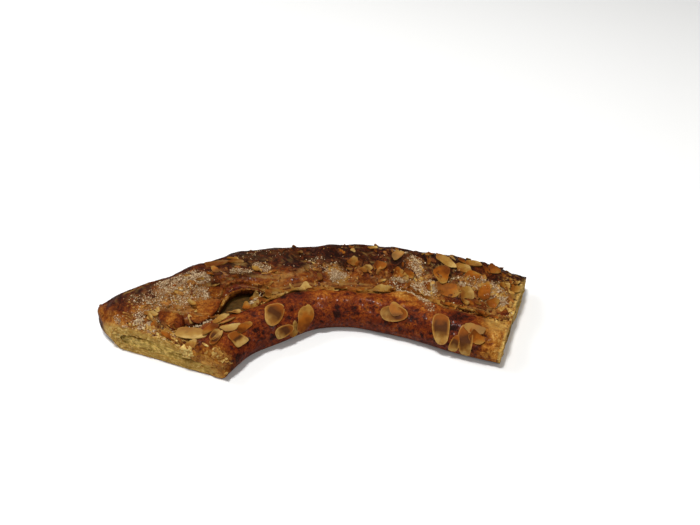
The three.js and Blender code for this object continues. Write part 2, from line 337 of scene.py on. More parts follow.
    def place(
        self, s: Array, u: Array, w: Array, height: Optional[Array] = None
    ) -> Array:
        """Return the points of the fold.

        Args:
            s: stations.
            u: places round the section.
            w: depths, 0 on the outer skin and 1 on the inside.
            height: height above the smooth section; None takes the solid's own relief.

        Returns:
            One row of three millimetre values a place.
        """
        shape = self.section(s)
        pairs = shape["pairs"]
        outer_q = spline(pairs[:, :, 0], u)
        outer_z = spline(pairs[:, :, 1], u)
        inner_q = spline(pairs[:, :, 2], u)
        inner_z = spline(pairs[:, :, 3], u)
        ahead = np.minimum(u + 0.002, 1.0)
        behind = np.maximum(u - 0.002, 0.0)
        run_q = spline(pairs[:, :, 0], ahead) - spline(pairs[:, :, 0], behind)
        run_z = spline(pairs[:, :, 1], ahead) - spline(pairs[:, :, 1], behind)
        run = np.hypot(run_q, run_z)
        lifted = (self.relief(s, u) if height is None else height) * (1.0 - w)
        q = outer_q + (inner_q - outer_q) * w + run_z / run * lifted
        z = outer_z + (inner_z - outer_z) * w - run_q / run * lifted
        flat = shape["near_edge"] + shape["across"] * q[:, None]
        return np.column_stack([flat, np.maximum(z, 0.0)])

    def skin_frame(self, s: float, u: float) -> tuple[Array, Array, Array, Array]:
        """Return the point and the directions along, round and outward at one place."""
        step = 0.004
        ahead = min(u + step, 1.0)
        behind = max(u - step, 0.0)
        stations = np.array([s, s + step, s - step, s, s])
        places = np.array([u, u, u, ahead, behind])
        points = self.place(stations, places, np.zeros(5))
        along = (points[1] - points[2]) / (2.0 * step)
        around = (points[3] - points[4]) / (ahead - behind)
        outward = np.cross(around, along)
        outward = outward / np.linalg.norm(outward)
        return points[0], along, around, outward


@dataclass(frozen=True)
class Patch:
    """A soft oval area of the crust: its middle, its half sizes and its value."""

    s: float
    u: float
    half_s: float
    half_u: float
    value: float

    def share(self, s: Array, u: Array) -> Array:
        """Return how much of each place the patch takes, from 0 to 1."""
        away = ((s - self.s) / self.half_s) ** 2 + ((u - self.u) / self.half_u) ** 2
        return np.exp(-away * away * 0.7)


def patches(*rows: tuple[float, ...]) -> tuple[Patch, ...]:
    """Return a patch for each row of s, u, half sizes and value."""
    return tuple(Patch(*row) for row in rows)


@dataclass(frozen=True)
class Terrace:
    """The edge of one baked layer: its stations, its line and its step towards the seam."""

    start: float
    end: float
    line: float
    step: float
    towards_seam: int = 1

    def reach(self, s: Array) -> Array:
        """Return 1 between the edge's two ends and 0 beyond them."""
        return window(s, self.start, self.start + 0.04, self.end - 0.04, self.end)


@dataclass
class CrustZones:
    """Where the crust is dark or golden, sugared, glossy or pale, and how rough it is."""

    form: FoldForm
    tone_line: tuple[tuple[float, float], ...] = (
        (0.0, 0.66), (0.02, 0.54), (0.06, 0.53), (0.1, 0.6), (0.15, 0.66), (0.2, 0.7),
        (0.25, 0.74), (0.3, 0.66), (0.36, 0.5), (0.5, 0.5), (0.56, 0.6), (0.6, 0.78),
        (0.65, 0.9), (0.72, 0.94), (0.78, 0.92), (0.82, 0.82), (0.85, 0.7), (0.88, 0.6),
        (0.92, 0.58), (0.96, 0.6), (1.0, 0.66),
    )
    tones: tuple[Patch, ...] = patches(
        (0.06, 0.71, 0.055, 0.04, 0.38), (0.02, 0.66, 0.03, 0.08, 0.24), (0.02, 0.82, 0.03, 0.06, 0.3),
        (0.17, 0.835, 0.09, 0.03, 0.42), (0.15, 0.797, 0.05, 0.024, 0.86),
        (0.05, 0.775, 0.04, 0.05, 0.36), (0.25, 0.765, 0.08, 0.02, 0.76), (0.3, 0.835, 0.03, 0.02, 0.62),
        (0.265, 0.853, 0.014, 0.012, 0.68), (0.28, 0.887, 0.02, 0.022, 0.46),
        (0.335, 0.885, 0.025, 0.016, 0.46), (0.306, 0.922, 0.036, 0.034, 0.72),
        (0.255, 0.985, 0.03, 0.014, 0.3), (0.29, 0.975, 0.045, 0.014, 0.4),
        # Painted shade: the dark patches at s 0.5, u 0.985 and s 0.53, u 0.002 darken both lips of the seam
        # where the flakes shade the furrow.
        (0.4, 0.868, 0.045, 0.03, 0.52), (0.5, 0.985, 0.17, 0.012, 0.86),
        (0.53, 0.002, 0.17, 0.014, 0.88), (0.48, 0.857, 0.02, 0.025, 0.62),
        (0.531, 0.872, 0.022, 0.03, 0.34), (0.61, 0.899, 0.06, 0.013, 0.5),
        (0.59, 0.86, 0.03, 0.02, 0.64), (0.663, 0.858, 0.018, 0.015, 0.42),
        (0.745, 0.834, 0.016, 0.03, 0.34), (0.768, 0.887, 0.028, 0.04, 0.3),
        (0.77, 0.972, 0.04, 0.012, 0.82), (0.71, 0.075, 0.05, 0.038, 0.34),
        (0.775, 0.1, 0.022, 0.03, 0.45), (0.37, 0.05, 0.036, 0.045, 0.86),
        # Painted shade: the dark patch at s 0.61, u 0.015 darkens the near lip, which lies in shade.
        (0.61, 0.015, 0.035, 0.025, 0.86), (0.434, 0.105, 0.03, 0.022, 0.42),
        (0.5, 0.12, 0.03, 0.016, 0.48), (0.603, 0.1, 0.03, 0.018, 0.44),
        (0.476, 0.194, 0.018, 0.016, 1.0), (0.624, 0.193, 0.016, 0.012, 1.0),
        (0.746, 0.163, 0.024, 0.018, 1.0), (0.723, 0.215, 0.02, 0.014, 1.0),
        (0.874, 0.09, 0.03, 0.055, 0.95), (0.915, 0.965, 0.045, 0.025, 0.3),
        (0.965, 0.05, 0.038, 0.065, 0.25), (0.98, 0.16, 0.035, 0.08, 0.28),
        (0.93, 0.15, 0.02, 0.03, 0.56), (0.955, 0.915, 0.03, 0.028, 0.74),
        (0.875, 0.905, 0.042, 0.02, 0.63), (0.9, 0.84, 0.05, 0.016, 0.34),
        (0.95, 0.865, 0.03, 0.03, 0.34), (0.963, 0.8, 0.035, 0.022, 0.82),
        (0.9, 0.785, 0.06, 0.025, 0.84), (0.05, 0.1, 0.03, 0.05, 0.55), (0.06, 0.07, 0.022, 0.025, 0.8),
        (0.0, 0.12, 0.042, 0.12, 0.3), (0.125, 0.88, 0.034, 0.03, 0.62),
        (0.203, 0.895, 0.035, 0.03, 0.42), (0.16, 0.98, 0.06, 0.04, 0.86),
        (0.24, 0.02, 0.06, 0.035, 0.86), (0.965, 0.19, 0.03, 0.06, 0.4), (0.08, 0.85, 0.012, 0.012, 0.92),
        (0.118, 0.955, 0.014, 0.022, 0.92), (0.01, 0.6, 0.03, 0.06, 0.2),
    )
    pale_patches: tuple[Patch, ...] = patches(
        (0.0, 0.62, 0.04, 0.11, 1.0), (1.0, 0.2, 0.012, 0.12, 0.8), (1.0, 0.9, 0.012, 0.12, 0.8),
        (0.0, 0.87, 0.014, 0.1, 0.8), (0.03, 0.93, 0.02, 0.04, 0.6), (0.531, 0.872, 0.02, 0.024, 0.4),
        (0.965, 0.05, 0.03, 0.05, 0.35), (0.925, 0.965, 0.02, 0.02, 0.5),
    )
    sugar_patches: tuple[Patch, ...] = patches(
        (0.234, 0.832, 0.04, 0.03, 1.0), (0.185, 0.832, 0.052, 0.03, 0.95),
        (0.165, 0.832, 0.03, 0.018, 0.7), (0.03, 0.79, 0.04, 0.05, 0.25),
        (0.043, 0.83, 0.03, 0.022, 0.55), (0.09, 0.838, 0.04, 0.02, 0.45),
        (0.23, 0.797, 0.045, 0.018, 0.55), (0.235, 0.862, 0.022, 0.018, 0.9),
        (0.331, 0.84, 0.015, 0.01, 0.8), (0.372, 0.836, 0.016, 0.013, 0.8),
        (0.531, 0.862, 0.034, 0.03, 0.7), (0.53, 0.935, 0.012, 0.01, 0.8), (0.5, 0.835, 0.03, 0.02, 0.4),
        (0.742, 0.834, 0.026, 0.036, 0.75), (0.765, 0.888, 0.038, 0.044, 0.8),
        (0.705, 0.89, 0.022, 0.018, 0.6), (0.713, 0.985, 0.02, 0.013, 1.0),
        (0.745, 0.99, 0.018, 0.014, 1.0), (0.75, 0.012, 0.022, 0.018, 0.9),
        (0.77, 0.04, 0.018, 0.03, 0.9), (0.787, 0.08, 0.016, 0.025, 0.4), (0.82, 0.97, 0.03, 0.02, 0.5),
        (0.03, 0.87, 0.04, 0.04, 0.45), (0.86, 0.843, 0.026, 0.018, 0.75),
        (0.9, 0.838, 0.026, 0.018, 0.75), (0.937, 0.855, 0.03, 0.035, 0.8),
        (0.21, 0.02, 0.04, 0.025, 0.55), (0.165, 0.985, 0.03, 0.016, 0.8),
        (0.06, 0.875, 0.02, 0.02, 0.55), (0.7, 0.78, 0.02, 0.014, 0.5), (0.4, 0.8, 0.1, 0.02, 0.2),
    )
    glossy_patches: tuple[Patch, ...] = patches(
        (0.306, 0.922, 0.042, 0.04, 0.8), (0.203, 0.895, 0.035, 0.035, 0.5),
        (0.956, 0.911, 0.03, 0.03, 0.6), (0.155, 0.79, 0.05, 0.03, 0.6),
        (0.875, 0.905, 0.042, 0.025, 0.5),
    )
    recesses: tuple[Patch, ...] = patches(
        (0.306, 0.922, 0.042, 0.038, 2.4), (0.956, 0.911, 0.03, 0.024, 1.0),
        (0.77, 0.973, 0.05, 0.014, 1.0), (0.116, 0.957, 0.014, 0.026, 1.6),
        (0.125, 0.88, 0.034, 0.026, 0.9), (0.203, 0.89, 0.035, 0.035, -0.8),
    )
    calm_patches: tuple[Patch, ...] = patches(
        (0.1, 0.755, 0.11, 0.05, 0.9), (0.4, 0.88, 0.13, 0.045, 0.75), (0.203, 0.9, 0.04, 0.045, 0.9),
        (0.345, 0.867, 0.045, 0.035, 0.8), (0.875, 0.908, 0.05, 0.02, 0.85),
        (0.306, 0.935, 0.042, 0.032, 0.8), (0.62, 0.895, 0.07, 0.018, 0.6),
        (0.956, 0.911, 0.03, 0.024, 0.6), (0.17, 0.89, 0.06, 0.02, 0.5),
    )
    terraces: tuple[Terrace, ...] = (
        Terrace(0.3, 0.64, 0.9, 0.55),
        Terrace(0.62, 0.9, 0.882, 0.6),
        Terrace(0.04, 0.22, 0.872, 0.55),
        Terrace(0.86, 1.0, 0.93, 0.6),
        Terrace(0.33, 0.58, 0.925, 0.35),
        Terrace(0.5, 0.97, 0.05, 0.5, -1),
        Terrace(0.0, 0.2, 0.045, 0.45, -1),
    )

    def tone(self, s: Array, u: Array, points: Array) -> Array:
        """Return how dark the crust is baked, from 0 pale to 1 nearly black, with painted shade in crevices
        and along the seam.
        """
        line = np.array(self.tone_line)
        value = np.interp(u, line[:, 0], line[:, 1])
        edge = u - self.form.torn_line(s) - 0.007 * layered_noise(points, 9.0, 31)
        behind = (1.0 - ramp(edge, -0.002, 0.004)) * ramp(u, 0.79, 0.83)
        value = value + 0.12 * behind * ramp(s, 0.26, 0.34)
        ahead, aside = self.wander(points)
        for patch in self.tones:
            share = 0.9 * patch.share(s + ahead, u + aside)
            if patch.value == 1.0:
                share = share * ramp(lattice_noise(points, 2.0, 13), -0.25, 0.25)
            value = value + (patch.value - value) * share
        level, _ = self.plates(points)
        value = value + 0.06 * np.sin(2.4 * level) * ramp(u, 0.7, 0.78)
        value = value + 0.11 * layered_noise(points, 16.0, 11)
        value = value + (0.17 + 0.2 * ramp(s, 0.92, 0.96)) * layered_noise(points, 4.6, 12)
        mottle = 0.3 * ramp(lattice_noise(points, 2.8, 14), 0.15, 0.6) - 0.08 * ramp(s, 0.3, 0.45)
        value = value + (u < 0.27) * mottle
        # Painted shade: the crust is darker down in the crevices between its crags and lighter on their
        # tops.
        return np.clip(value - 0.2 * self.crags(s, u, points), 0.03, 1.0)

    def wander(self, points: Array) -> tuple[Array, Array]:
        """Return the shifts of s and u that make the outlines of patches uneven."""
        ahead = 0.013 * lattice_noise(points, 13.0, 5) + 0.006 * lattice_noise(points, 4.5, 6)
        aside = 0.011 * lattice_noise(points, 13.0, 7) + 0.006 * lattice_noise(points, 4.5, 8)
        return ahead, aside

    def calm(self, s: Array, u: Array) -> Array:
        """Return how smooth and bare the crust is, from 0 craggy to 1 smooth."""
        value = 0.55 * ramp(u, 0.55, 0.62) * (1.0 - ramp(u, 0.72, 0.78))
        for patch in self.calm_patches:
            value = np.maximum(value, patch.value * patch.share(s, u))
        return value

    def recess(self, s: Array, u: Array, points: Array) -> tuple[Array, Array]:
        """Return the depth where a layer is torn away, and how near its torn rim is."""
        ahead, aside = self.wander(points)
        depth = np.zeros(len(s))
        rim = np.zeros(len(s))
        for patch in self.recesses:
            share = patch.share(s + 0.6 * ahead, u + 0.6 * aside)
            depth = depth + patch.value * ramp(share, 0.35, 0.6)
            broken = ramp(lattice_noise(points, 7.5, 9), -0.1, 0.5)
            rim = np.maximum(rim, bell(share, 0.34, 0.16) * broken)
        return depth, rim

    def sugar(self, s: Array, u: Array, points: Array) -> Array:
        """Return how thickly the crust is sugared, from 0 to 1."""
        ahead = 0.012 * layered_noise(points, 13.0, 41)
        aside = 0.012 * layered_noise(points, 13.0, 43)
        value = np.zeros(len(s))
        for patch in self.sugar_patches:
            value = np.maximum(value, patch.value * patch.share(s + ahead, u + aside))
        value = value * (0.95 + 1.05 * layered_noise(points, 6.5, 42)) - 0.08
        return np.clip(value * 1.25, 0.0, 1.0)

    def pale(self, s: Array, u: Array) -> Array:
        """Return how much of the pale crumb shows through the skin."""
        value = np.zeros(len(s))
        for patch in self.pale_patches:
            value = np.maximum(value, patch.value * patch.share(s, u))
        return np.clip(value * 1.3, 0.0, 1.0)

    def wash(self, s: Array, u: Array, points: Array) -> Array:
        """Return how glossy the egg wash is."""
        on_roll = window(u, 0.0, 0.03, 0.25, 0.3)
        on_back = 0.35 * ramp(u, 0.6, 0.7) * (1.0 - ramp(u, 0.93, 1.0))
        ends = window(s, 0.03, 0.1, 0.89, 0.95)
        value = on_roll * (0.3 + 0.7 * ends) + on_back
        for patch in self.glossy_patches:
            value = np.maximum(value, patch.value * patch.share(s, u))
        value = value * (1.0 - 0.75 * bell(s, 0.71, 0.06) * bell(u, 0.06, 0.05))
        value = value * (1.0 - self.sugar(s, u, points))
        return np.clip(value * (0.85 + 0.4 * layered_noise(points, 12.0, 51)), 0.0, 1.0)

    def plates(self, points: Array) -> tuple[Array, Array]:
        """Return the level of each flaky plate of the crust and where its torn edge runs."""
        level = 3.2 * layered_noise(points * np.array([0.8, 1.0, 1.0]), 15.0, 55)
        level = level + 0.35 * lattice_noise(points, 3.4, 56)
        whole = np.floor(level)
        part = level - whole
        return whole + ramp(part, 0.78, 1.0), bell(part, 0.88, 0.16)

    def torn(self, s: Array, u: Array, points: Array) -> Array:
        """Return where the pale edges of torn layers show, from 0 to 1."""
        _, edge = self.plates(points)
        back = window(u, 0.7, 0.76, 0.97, 0.99)
        value = 0.55 * edge * back * ramp(layered_noise(points, 11.0, 57), -0.1, 0.35)
        line = u - self.form.torn_line(s) - self.jag(points)
        broken = ramp(lattice_noise(points, 8.0, 58), -0.2, 0.4)
        value = np.maximum(value, 0.8 * bell(line, 0.002, 0.005) * broken)
        for number, terrace in enumerate(self.terraces):
            away = u - terrace.line + self.drift(points, number)
            value = np.maximum(value, 0.6 * terrace.reach(s) * bell(away, 0.0, 0.005))
        _, rim = self.recess(s, u, points)
        return np.clip(np.maximum(value, 0.9 * rim), 0.0, 1.0)

    def drift(self, points: Array, number: int) -> Array:
        """Return how far the edge of a terrace wanders from its line, as u."""
        return 0.006 * layered_noise(points, 12.0, 61 + number) + 0.002 * lattice_noise(points, 2.5, 71)

    def jag(self, points: Array) -> Array:
        """Return the shift of the torn line that makes it ragged, as u."""
        return 0.007 * layered_noise(points, 9.0, 31) + 0.003 * lattice_noise(points, 2.2, 33)

    def height(self, s: Array, u: Array) -> Array:
        """Return the full height of the dressed crust above the smooth section."""
        smooth = self.form.place(s, u, np.zeros(len(s)), np.zeros(len(s)))
        value = self.form.relief(s, u, self.jag(smooth))
        top = window(u, 0.0, 0.03, 0.25, 0.3)
        back = window(u, 0.56, 0.62, 0.985, 1.0)
        sugar = self.sugar(s, u, smooth)
        for number, terrace in enumerate(self.terraces):
            away = u - terrace.line + self.drift(smooth, number)
            over = ramp(away * terrace.towards_seam, -0.0015, 0.003)
            drop = terrace.step * (over - 0.5) * terrace.reach(s)
            value = value - drop * bell(u, terrace.line, 0.06) * (top + back)
        level, _ = self.plates(smooth)
        band = bell(u, 0.9, 0.045) * ramp(s, 0.28, 0.36) * (1.0 - ramp(s, 0.62, 0.7)) * (1.0 - sugar)
        rough = 1.0 - self.calm(s, u)
        value = value + back * (1.0 - band) * 0.42 * level * rough
        value = value + 0.5 * back * rough * layered_noise(smooth, 9.0, 21)
        value = value + 0.25 * top * layered_noise(smooth, 12.0, 22)
        value = value + sugar * back * (0.45 + 0.7 * np.abs(lattice_noise(smooth, 1.9, 25)))
        wave = np.sin(self.form.girth * u * 1.9 + 2.5 * lattice_noise(smooth, 16.0, 27))
        value = value + 0.2 * band * wave
        crease = np.sin(0.9 * self.form.strip_length * s + 3.0 * lattice_noise(smooth, 9.0, 29))
        value = value + 0.3 * crease * bell(s, 0.715, 0.06) * bell(u, 0.05, 0.05) * top
        closed = 2.4 * ramp(s, 0.79, 0.85) * (bell(u, 0.0, 0.03) + bell(u, 1.0, 0.03))
        depth, _ = self.recess(s, u, smooth)
        return value + closed - depth + self.crags(s, u, smooth)

    def crags(self, s: Array, u: Array, points: Array) -> Array:
        """Return the height of the crust's small crags and blisters in millimetres."""
        top = window(u, 0.0, 0.03, 0.25, 0.3)
        back = window(u, 0.56, 0.62, 0.985, 1.0) * (1.0 - self.calm(s, u))
        back = np.maximum(back, top * np.maximum(ramp(s, 0.91, 0.96), 1.0 - ramp(s, 0.02, 0.05)))
        cracks = np.abs(lattice_noise(points, 4.4, 26)) ** 0.7 - 0.45
        rough = 0.9 * cracks + 0.45 * lattice_noise(points, 2.5, 23)
        skin = 0.2 * layered_noise(points, 5.5, 28) + 0.16 * lattice_noise(points, 2.2, 24)
        return 0.75 * back * rough + top * (skin + self.blisters(points))

    def blisters(self, points: Array) -> Array:
        """Return the height of the small blisters of the glazed roll."""
        bumps = np.zeros(len(points))
        for size, tall, salt in ((4.6, 0.42, 81), (2.9, 0.2, 82)):
            cell = np.maximum(0.0, lattice_noise(points, size, salt) - 0.32) / 0.5
            patchy = ramp(lattice_noise(points, 21.0, salt + 4), -0.25, 0.35)
            bumps = bumps + tall * np.sqrt(cell) * patchy
        return bumps


class TopSurface:
    """Height of the strip's upper side over the plan, with narrow furrows bridged."""

    spacing = 1.0
    reach_x = 172.0
    reach_y = 82.0

    def __init__(self, form: FoldForm, zones: CrustZones, extra: Array, bridge: int = 3) -> None:
        """Sample the upper side.

        Args:
            form: the strip's form.
            zones: the crust, for its full height.
            extra: points of other pieces that lie on top.
            bridge: half width in steps of the furrows that are bridged.
        """
        stations = np.linspace(0.0, 1.0, 620)
        rounds = np.concatenate([np.linspace(0.0, 0.24, 130), np.linspace(0.66, 1.0, 230)])
        s, u = [values.ravel() for values in np.meshgrid(stations, rounds, indexing="ij")]
        points = np.vstack([form.place(s, u, np.zeros(len(s)), zones.height(s, u)), extra])
        self.columns = int(2 * self.reach_x / self.spacing)
        self.rows = int(2 * self.reach_y / self.spacing)
        grid = np.full((self.columns, self.rows), -1.0)
        column = ((points[:, 0] + self.reach_x) / self.spacing).astype(int)
        row = ((points[:, 1] + self.reach_y) / self.spacing).astype(int)
        np.maximum.at(grid, (column, row), points[:, 2])
        filled = self.spread(grid, 1, np.maximum)
        grid = np.where(grid < 0.0, filled, grid)
        closed = self.spread(self.spread(grid, bridge, np.maximum), bridge, np.minimum)
        self.grid = np.maximum(grid, closed)

    def spread(self, grid: Array, steps: int, pick: Callable[..., Array]) -> Array:
        """Return the grid with each cell's highest or lowest neighbour, a number of times."""
        for _ in range(steps):
            for axis in (0, 1):
                grid = pick(grid, pick(np.roll(grid, 1, axis), np.roll(grid, -1, axis)))
        return grid

    def height(self, x: Array, y: Array) -> Array:
        """Return the height over places of the plan."""
        column = np.clip((x + self.reach_x) / self.spacing - 0.5, 0.0, self.columns - 1.001)
        row = np.clip((y + self.reach_y) / self.spacing - 0.5, 0.0, self.rows - 1.001)
        i, j = column.astype(int), row.astype(int)
        a, b = column - i, row - j
        low = self.grid[i, j] * (1.0 - a) + self.grid[i + 1, j] * a
        high = self.grid[i, j + 1] * (1.0 - a) + self.grid[i + 1, j + 1] * a
        return low * (1.0 - b) + high * b


@dataclass
class LooseBit:
    """A thin bit before it is laid down.

    flat is its shape on the tangent plane, s and u are where its points meet the skin,
    rise is their height above it and sag tells how closely it follows the skin.
    """

    flat: Array
    s: Array
    u: Array
    outward: Array
    rise: Array
    sag: float
    values: dict[str, object]
    on_top: bool = False


@dataclass
class SkinSurface:
    """Lays thin bits on the dressed crust or, near the seam, on the upper side."""

    form: FoldForm
    zones: CrustZones
    top: TopSurface

    def settle(self, bits: list[LooseBit]) -> list[Array]:
        """Return the laid points of every bit."""
        s = np.clip(np.concatenate([bit.s for bit in bits]), 0.0, 1.0)
        u = np.clip(np.concatenate([bit.u for bit in bits]), 0.0, 1.0)
        skin = self.form.place(s, u, np.zeros(len(s)), self.zones.height(s, u))
        laid: list[Array] = []
        start = 0
        for bit in bits:
            below = skin[start : start + len(bit.s)]
            start += len(bit.s)
            if bit.on_top:
                below = bit.flat.copy()
                below[:, 2] = self.top.height(below[:, 0], below[:, 1])
            points = bit.flat + (below - bit.flat) * bit.sag + bit.outward * bit.rise[:, None]
            points[:, 2] = np.maximum(points[:, 2], 0.4)
            laid.append(points)
        return laid

    def level_frame(self, s: float, u: float, off: float) -> tuple[Array, ...]:
        """Return a point of the upper side with level directions and straight up.

        Args:
            s: station.
            u: place round the section.
            off: further shift across the strip in millimetres.

        Returns:
            The point, the directions along and across, and up.
        """
        middle, along, _, _ = self.form.skin_frame(s, u)
        level = np.array([along[0], along[1], 0.0])
        level = level / np.linalg.norm(level)
        across = np.array([-level[1], level[0], 0.0])
        middle = middle + across * off
        middle[2] = self.top.height(middle[:1], middle[1:2])[0]
        return middle, level, across, np.array([0.0, 0.0, 1.0])


# Meshes


def select_none() -> None:
    """Deselect every object."""
    bpy.ops.object.select_all(action="DESELECT")


def read_points(mesh: bpy.types.Mesh) -> Array:
    """Return a mesh's vertices as an array of rows."""
    values = np.empty(len(mesh.vertices) * 3)
    mesh.vertices.foreach_get("co", values)
    return values.reshape(-1, 3)


def write_points(mesh: bpy.types.Mesh, points: Array) -> None:
    """Move a mesh's vertices to new places."""
    mesh.vertices.foreach_set("co", np.ascontiguousarray(points, dtype=np.float32).ravel())
    mesh.update()


def write_value(mesh: bpy.types.Mesh, name: str, values: Array) -> None:
    """Store one number a vertex under a name that materials can read."""
    attribute = mesh.attributes.get(name) or mesh.attributes.new(name, "FLOAT", "POINT")
    attribute.data.foreach_set("value", np.ascontiguousarray(values, dtype=np.float32))


def smooth_piece(piece: Piece, angle: float = 40.0) -> None:
    """Shade a piece smooth up to an angle in degrees."""
    select_none()
    piece.select_set(True)
    bpy.context.view_layer.objects.active = piece
    bpy.ops.object.shade_smooth_by_angle(angle=math.radians(angle))
    select_none()


def thick_sheet(columns: int, rows: int, side: float, depth: float) -> Piece:
    """Model a flat, square grid with thickness.

    Args:
        columns: its spans in x.
        rows: its spans in y.
        side: length of its sides.
        depth: how far it is drawn up, or down if negative.

    Returns:
        The closed sheet.
    """
    select_none()
    bpy.ops.mesh.primitive_grid_add(x_subdivisions=columns, y_subdivisions=rows, size=side)
    piece = bpy.context.active_object
    bpy.ops.object.mode_set(mode="EDIT")
    bpy.ops.mesh.select_mode(type="FACE")
    bpy.ops.mesh.select_all(action="SELECT")
    bpy.ops.mesh.extrude_region_move(TRANSFORM_OT_translate={"value": (0.0, 0.0, depth)})
    bpy.ops.mesh.select_all(action="SELECT")
    bpy.ops.mesh.normals_make_consistent(inside=False)
    bpy.ops.object.mode_set(mode="OBJECT")
    return piece


def face_outward(piece: Piece) -> None:
    """Turn a piece's faces outward."""
    select_none()
    piece.select_set(True)
    bpy.context.view_layer.objects.active = piece
    bpy.ops.object.mode_set(mode="EDIT")
    bpy.ops.mesh.select_all(action="SELECT")
    bpy.ops.mesh.normals_make_consistent(inside=False)
    bpy.ops.object.mode_set(mode="OBJECT")


def name_piece(piece: Piece, name: str) -> None:
    """Name a piece and its mesh."""
    piece.name = name
    piece.data.name = name


def turned(x: Array, y: Array, angle: float) -> tuple[Array, Array]:
    """Return points turned by an angle in radians."""
    cosine, sine = math.cos(angle), math.sin(angle)
    return x * cosine - y * sine, x * sine + y * cosine


@dataclass
class Template:
    """A small shape that is copied many times: its points and its faces."""

    points: Array
    faces: list[tuple[int, ...]]


def template_of(piece: Piece) -> Template:
    """Read a modelled piece into a template and remove it."""
    mesh = piece.data
    shape = Template(read_points(mesh), [tuple(face.vertices) for face in mesh.polygons])
    bpy.data.objects.remove(piece)
    bpy.data.meshes.remove(mesh)
    return shape


class CopiedPiece:
    """Many copies of small shapes gathered in one mesh at true size."""

    def __init__(self, name: str) -> None:
        """Start an empty piece.

        Args:
            name: the piece's name.
        """
        self.name = name
        self.points: list[Array] = []
        self.faces: list[tuple[int, ...]] = []
        self.values: dict[str, list[Array]] = {}
        self.count = 0

    def add(self, points: Array, faces: list[tuple[int, ...]], **values: Array) -> None:
        """Add one copy with its values, one a point."""
        self.points.append(points)
        self.faces.extend(tuple(index + self.count for index in face) for face in faces)
        self.count += len(points)
        for name, value in values.items():
            self.values.setdefault(name, []).append(np.broadcast_to(value, (len(points),)))

    def finish(self, material: Material, angle: float = 40.0) -> Piece:
        """Make the mesh object.

        Args:
            material: the finish of the whole piece.
            angle: edge angle up to which it is shaded smooth.

        Returns:
            The piece.
        """
        mesh = bpy.data.meshes.new(self.name)
        mesh.from_pydata((np.vstack(self.points) * MM).tolist(), [], self.faces)
        for name, values in self.values.items():
            write_value(mesh, name, np.concatenate(values))
        piece = bpy.data.objects.new(self.name, mesh)
        bpy.context.scene.collection.objects.link(piece)
        mesh.materials.append(material)
        smooth_piece(piece, angle)
        return piece


# Shader building


class Bench:
    """Adds and joins the nodes of one tree."""

    def __init__(self, tree: bpy.types.NodeTree) -> None:
        """Take a tree to work on.

        Args:
            tree: the node tree of a material or a group.
        """
        self.tree = tree

    def add(self, kind: str, **settings: object) -> bpy.types.Node:
        """Add a node and set its properties."""
        node = self.tree.nodes.new(kind)
        for name, value in settings.items():
            setattr(node, name, value)
        return node

    def feed(self, socket: Socket, value: object) -> None:
        """Join an output to a socket or set the socket's own value."""
        if isinstance(value, Socket):
            self.tree.links.new(value, socket)
        else:
            socket.default_value = value

    def place(self) -> Socket:
        """Return the object coordinates."""
        return self.add("ShaderNodeTexCoord").outputs["Object"]

    def value(self, name: str) -> Socket:
        """Return a number stored on the mesh."""
        return self.add("ShaderNodeAttribute", attribute_name=name).outputs["Fac"]

    def math(self, operation: str, first: object, second: object = 0.0, clamp: bool = False) -> Socket:
        """Return the result of a math node."""
        node = self.add("ShaderNodeMath", operation=operation, use_clamp=clamp)
        self.feed(node.inputs[0], first)
        self.feed(node.inputs[1], second)
        return node.outputs[0]

    def times(self, first: object, second: object, clamp: bool = False) -> Socket:
        """Return a product."""
        return self.math("MULTIPLY", first, second, clamp)

    def plus(self, first: object, second: object, clamp: bool = False) -> Socket:
        """Return a sum."""
        return self.math("ADD", first, second, clamp)

    def noise(self, size_mm: float, detail: float = 3.0, rough: float = 0.55, warp: float = 0.0) -> Socket:
        """Return noise with features of about a size in millimetres."""
        node = self.add("ShaderNodeTexNoise")
        self.feed(node.inputs["Vector"], self.place())
        hold(node, {
            "Scale": 1000.0 / size_mm, "Detail": detail, "Roughness": rough, "Distortion": warp,
        })
        return node.outputs["Fac"]

    def cells(self, size_mm: float, feature: str = "F1") -> Socket:
        """Return the distance in a cell pattern of about a size in millimetres."""
        node = self.add("ShaderNodeTexVoronoi", feature=feature)
        self.feed(node.inputs["Vector"], self.place())
        node.inputs["Scale"].default_value = 1000.0 / size_mm
        return node.outputs["Distance"]

    def span(
        self, value: object, low: float, high: float, to_low: float = 0.0, to_high: float = 1.0
    ) -> Socket:
        """Return a value stretched from one range to another and held inside it."""
        node = self.add("ShaderNodeMapRange", clamp=True)
        self.feed(node.inputs["Value"], value)
        limits = {"From Min": low, "From Max": high, "To Min": to_low, "To Max": to_high}
        for name, number in limits.items():
            node.inputs[name].default_value = number
        return node.outputs["Result"]

    def mix(self, share: object, first: object, second: object, blend: str = "MIX") -> Socket:
        """Return a mix of two colours."""
        node = self.add("ShaderNodeMix", data_type="RGBA", blend_type=blend)
        self.feed(node.inputs["Factor"], share)
        self.feed(node.inputs[6], first)
        self.feed(node.inputs[7], second)
        return node.outputs[2]

    def ramp(self, value: object, stops: tuple[tuple[float, str], ...]) -> Socket:
        """Return the colour of a ramp of colour codes at a value."""
        node = self.add("ShaderNodeValToRGB")
        band = node.color_ramp
        while len(band.elements) < len(stops):
            band.elements.new(0.5)
        for element, (position, code) in zip(band.elements, stops):
            element.position = position
            element.color = paint(code)
        self.feed(node.inputs["Fac"], value)
        return node.outputs["Color"]

    def bump(self, height: object, depth_mm: float, strength: float = 1.0, before: object = None) -> Socket:
        """Return a normal bent by a height map."""
        node = self.add("ShaderNodeBump")
        hold(node, {"Strength": strength, "Distance": depth_mm * MM})
        self.feed(node.inputs["Height"], height)
        if before is not None:
            self.feed(node.inputs["Normal"], before)
        return node.outputs["Normal"]


def hold(node: bpy.types.Node, values: dict[str, object]) -> None:
    """Set constants on a node's own sockets."""
    for name, value in values.items():
        node.inputs[name].default_value = value


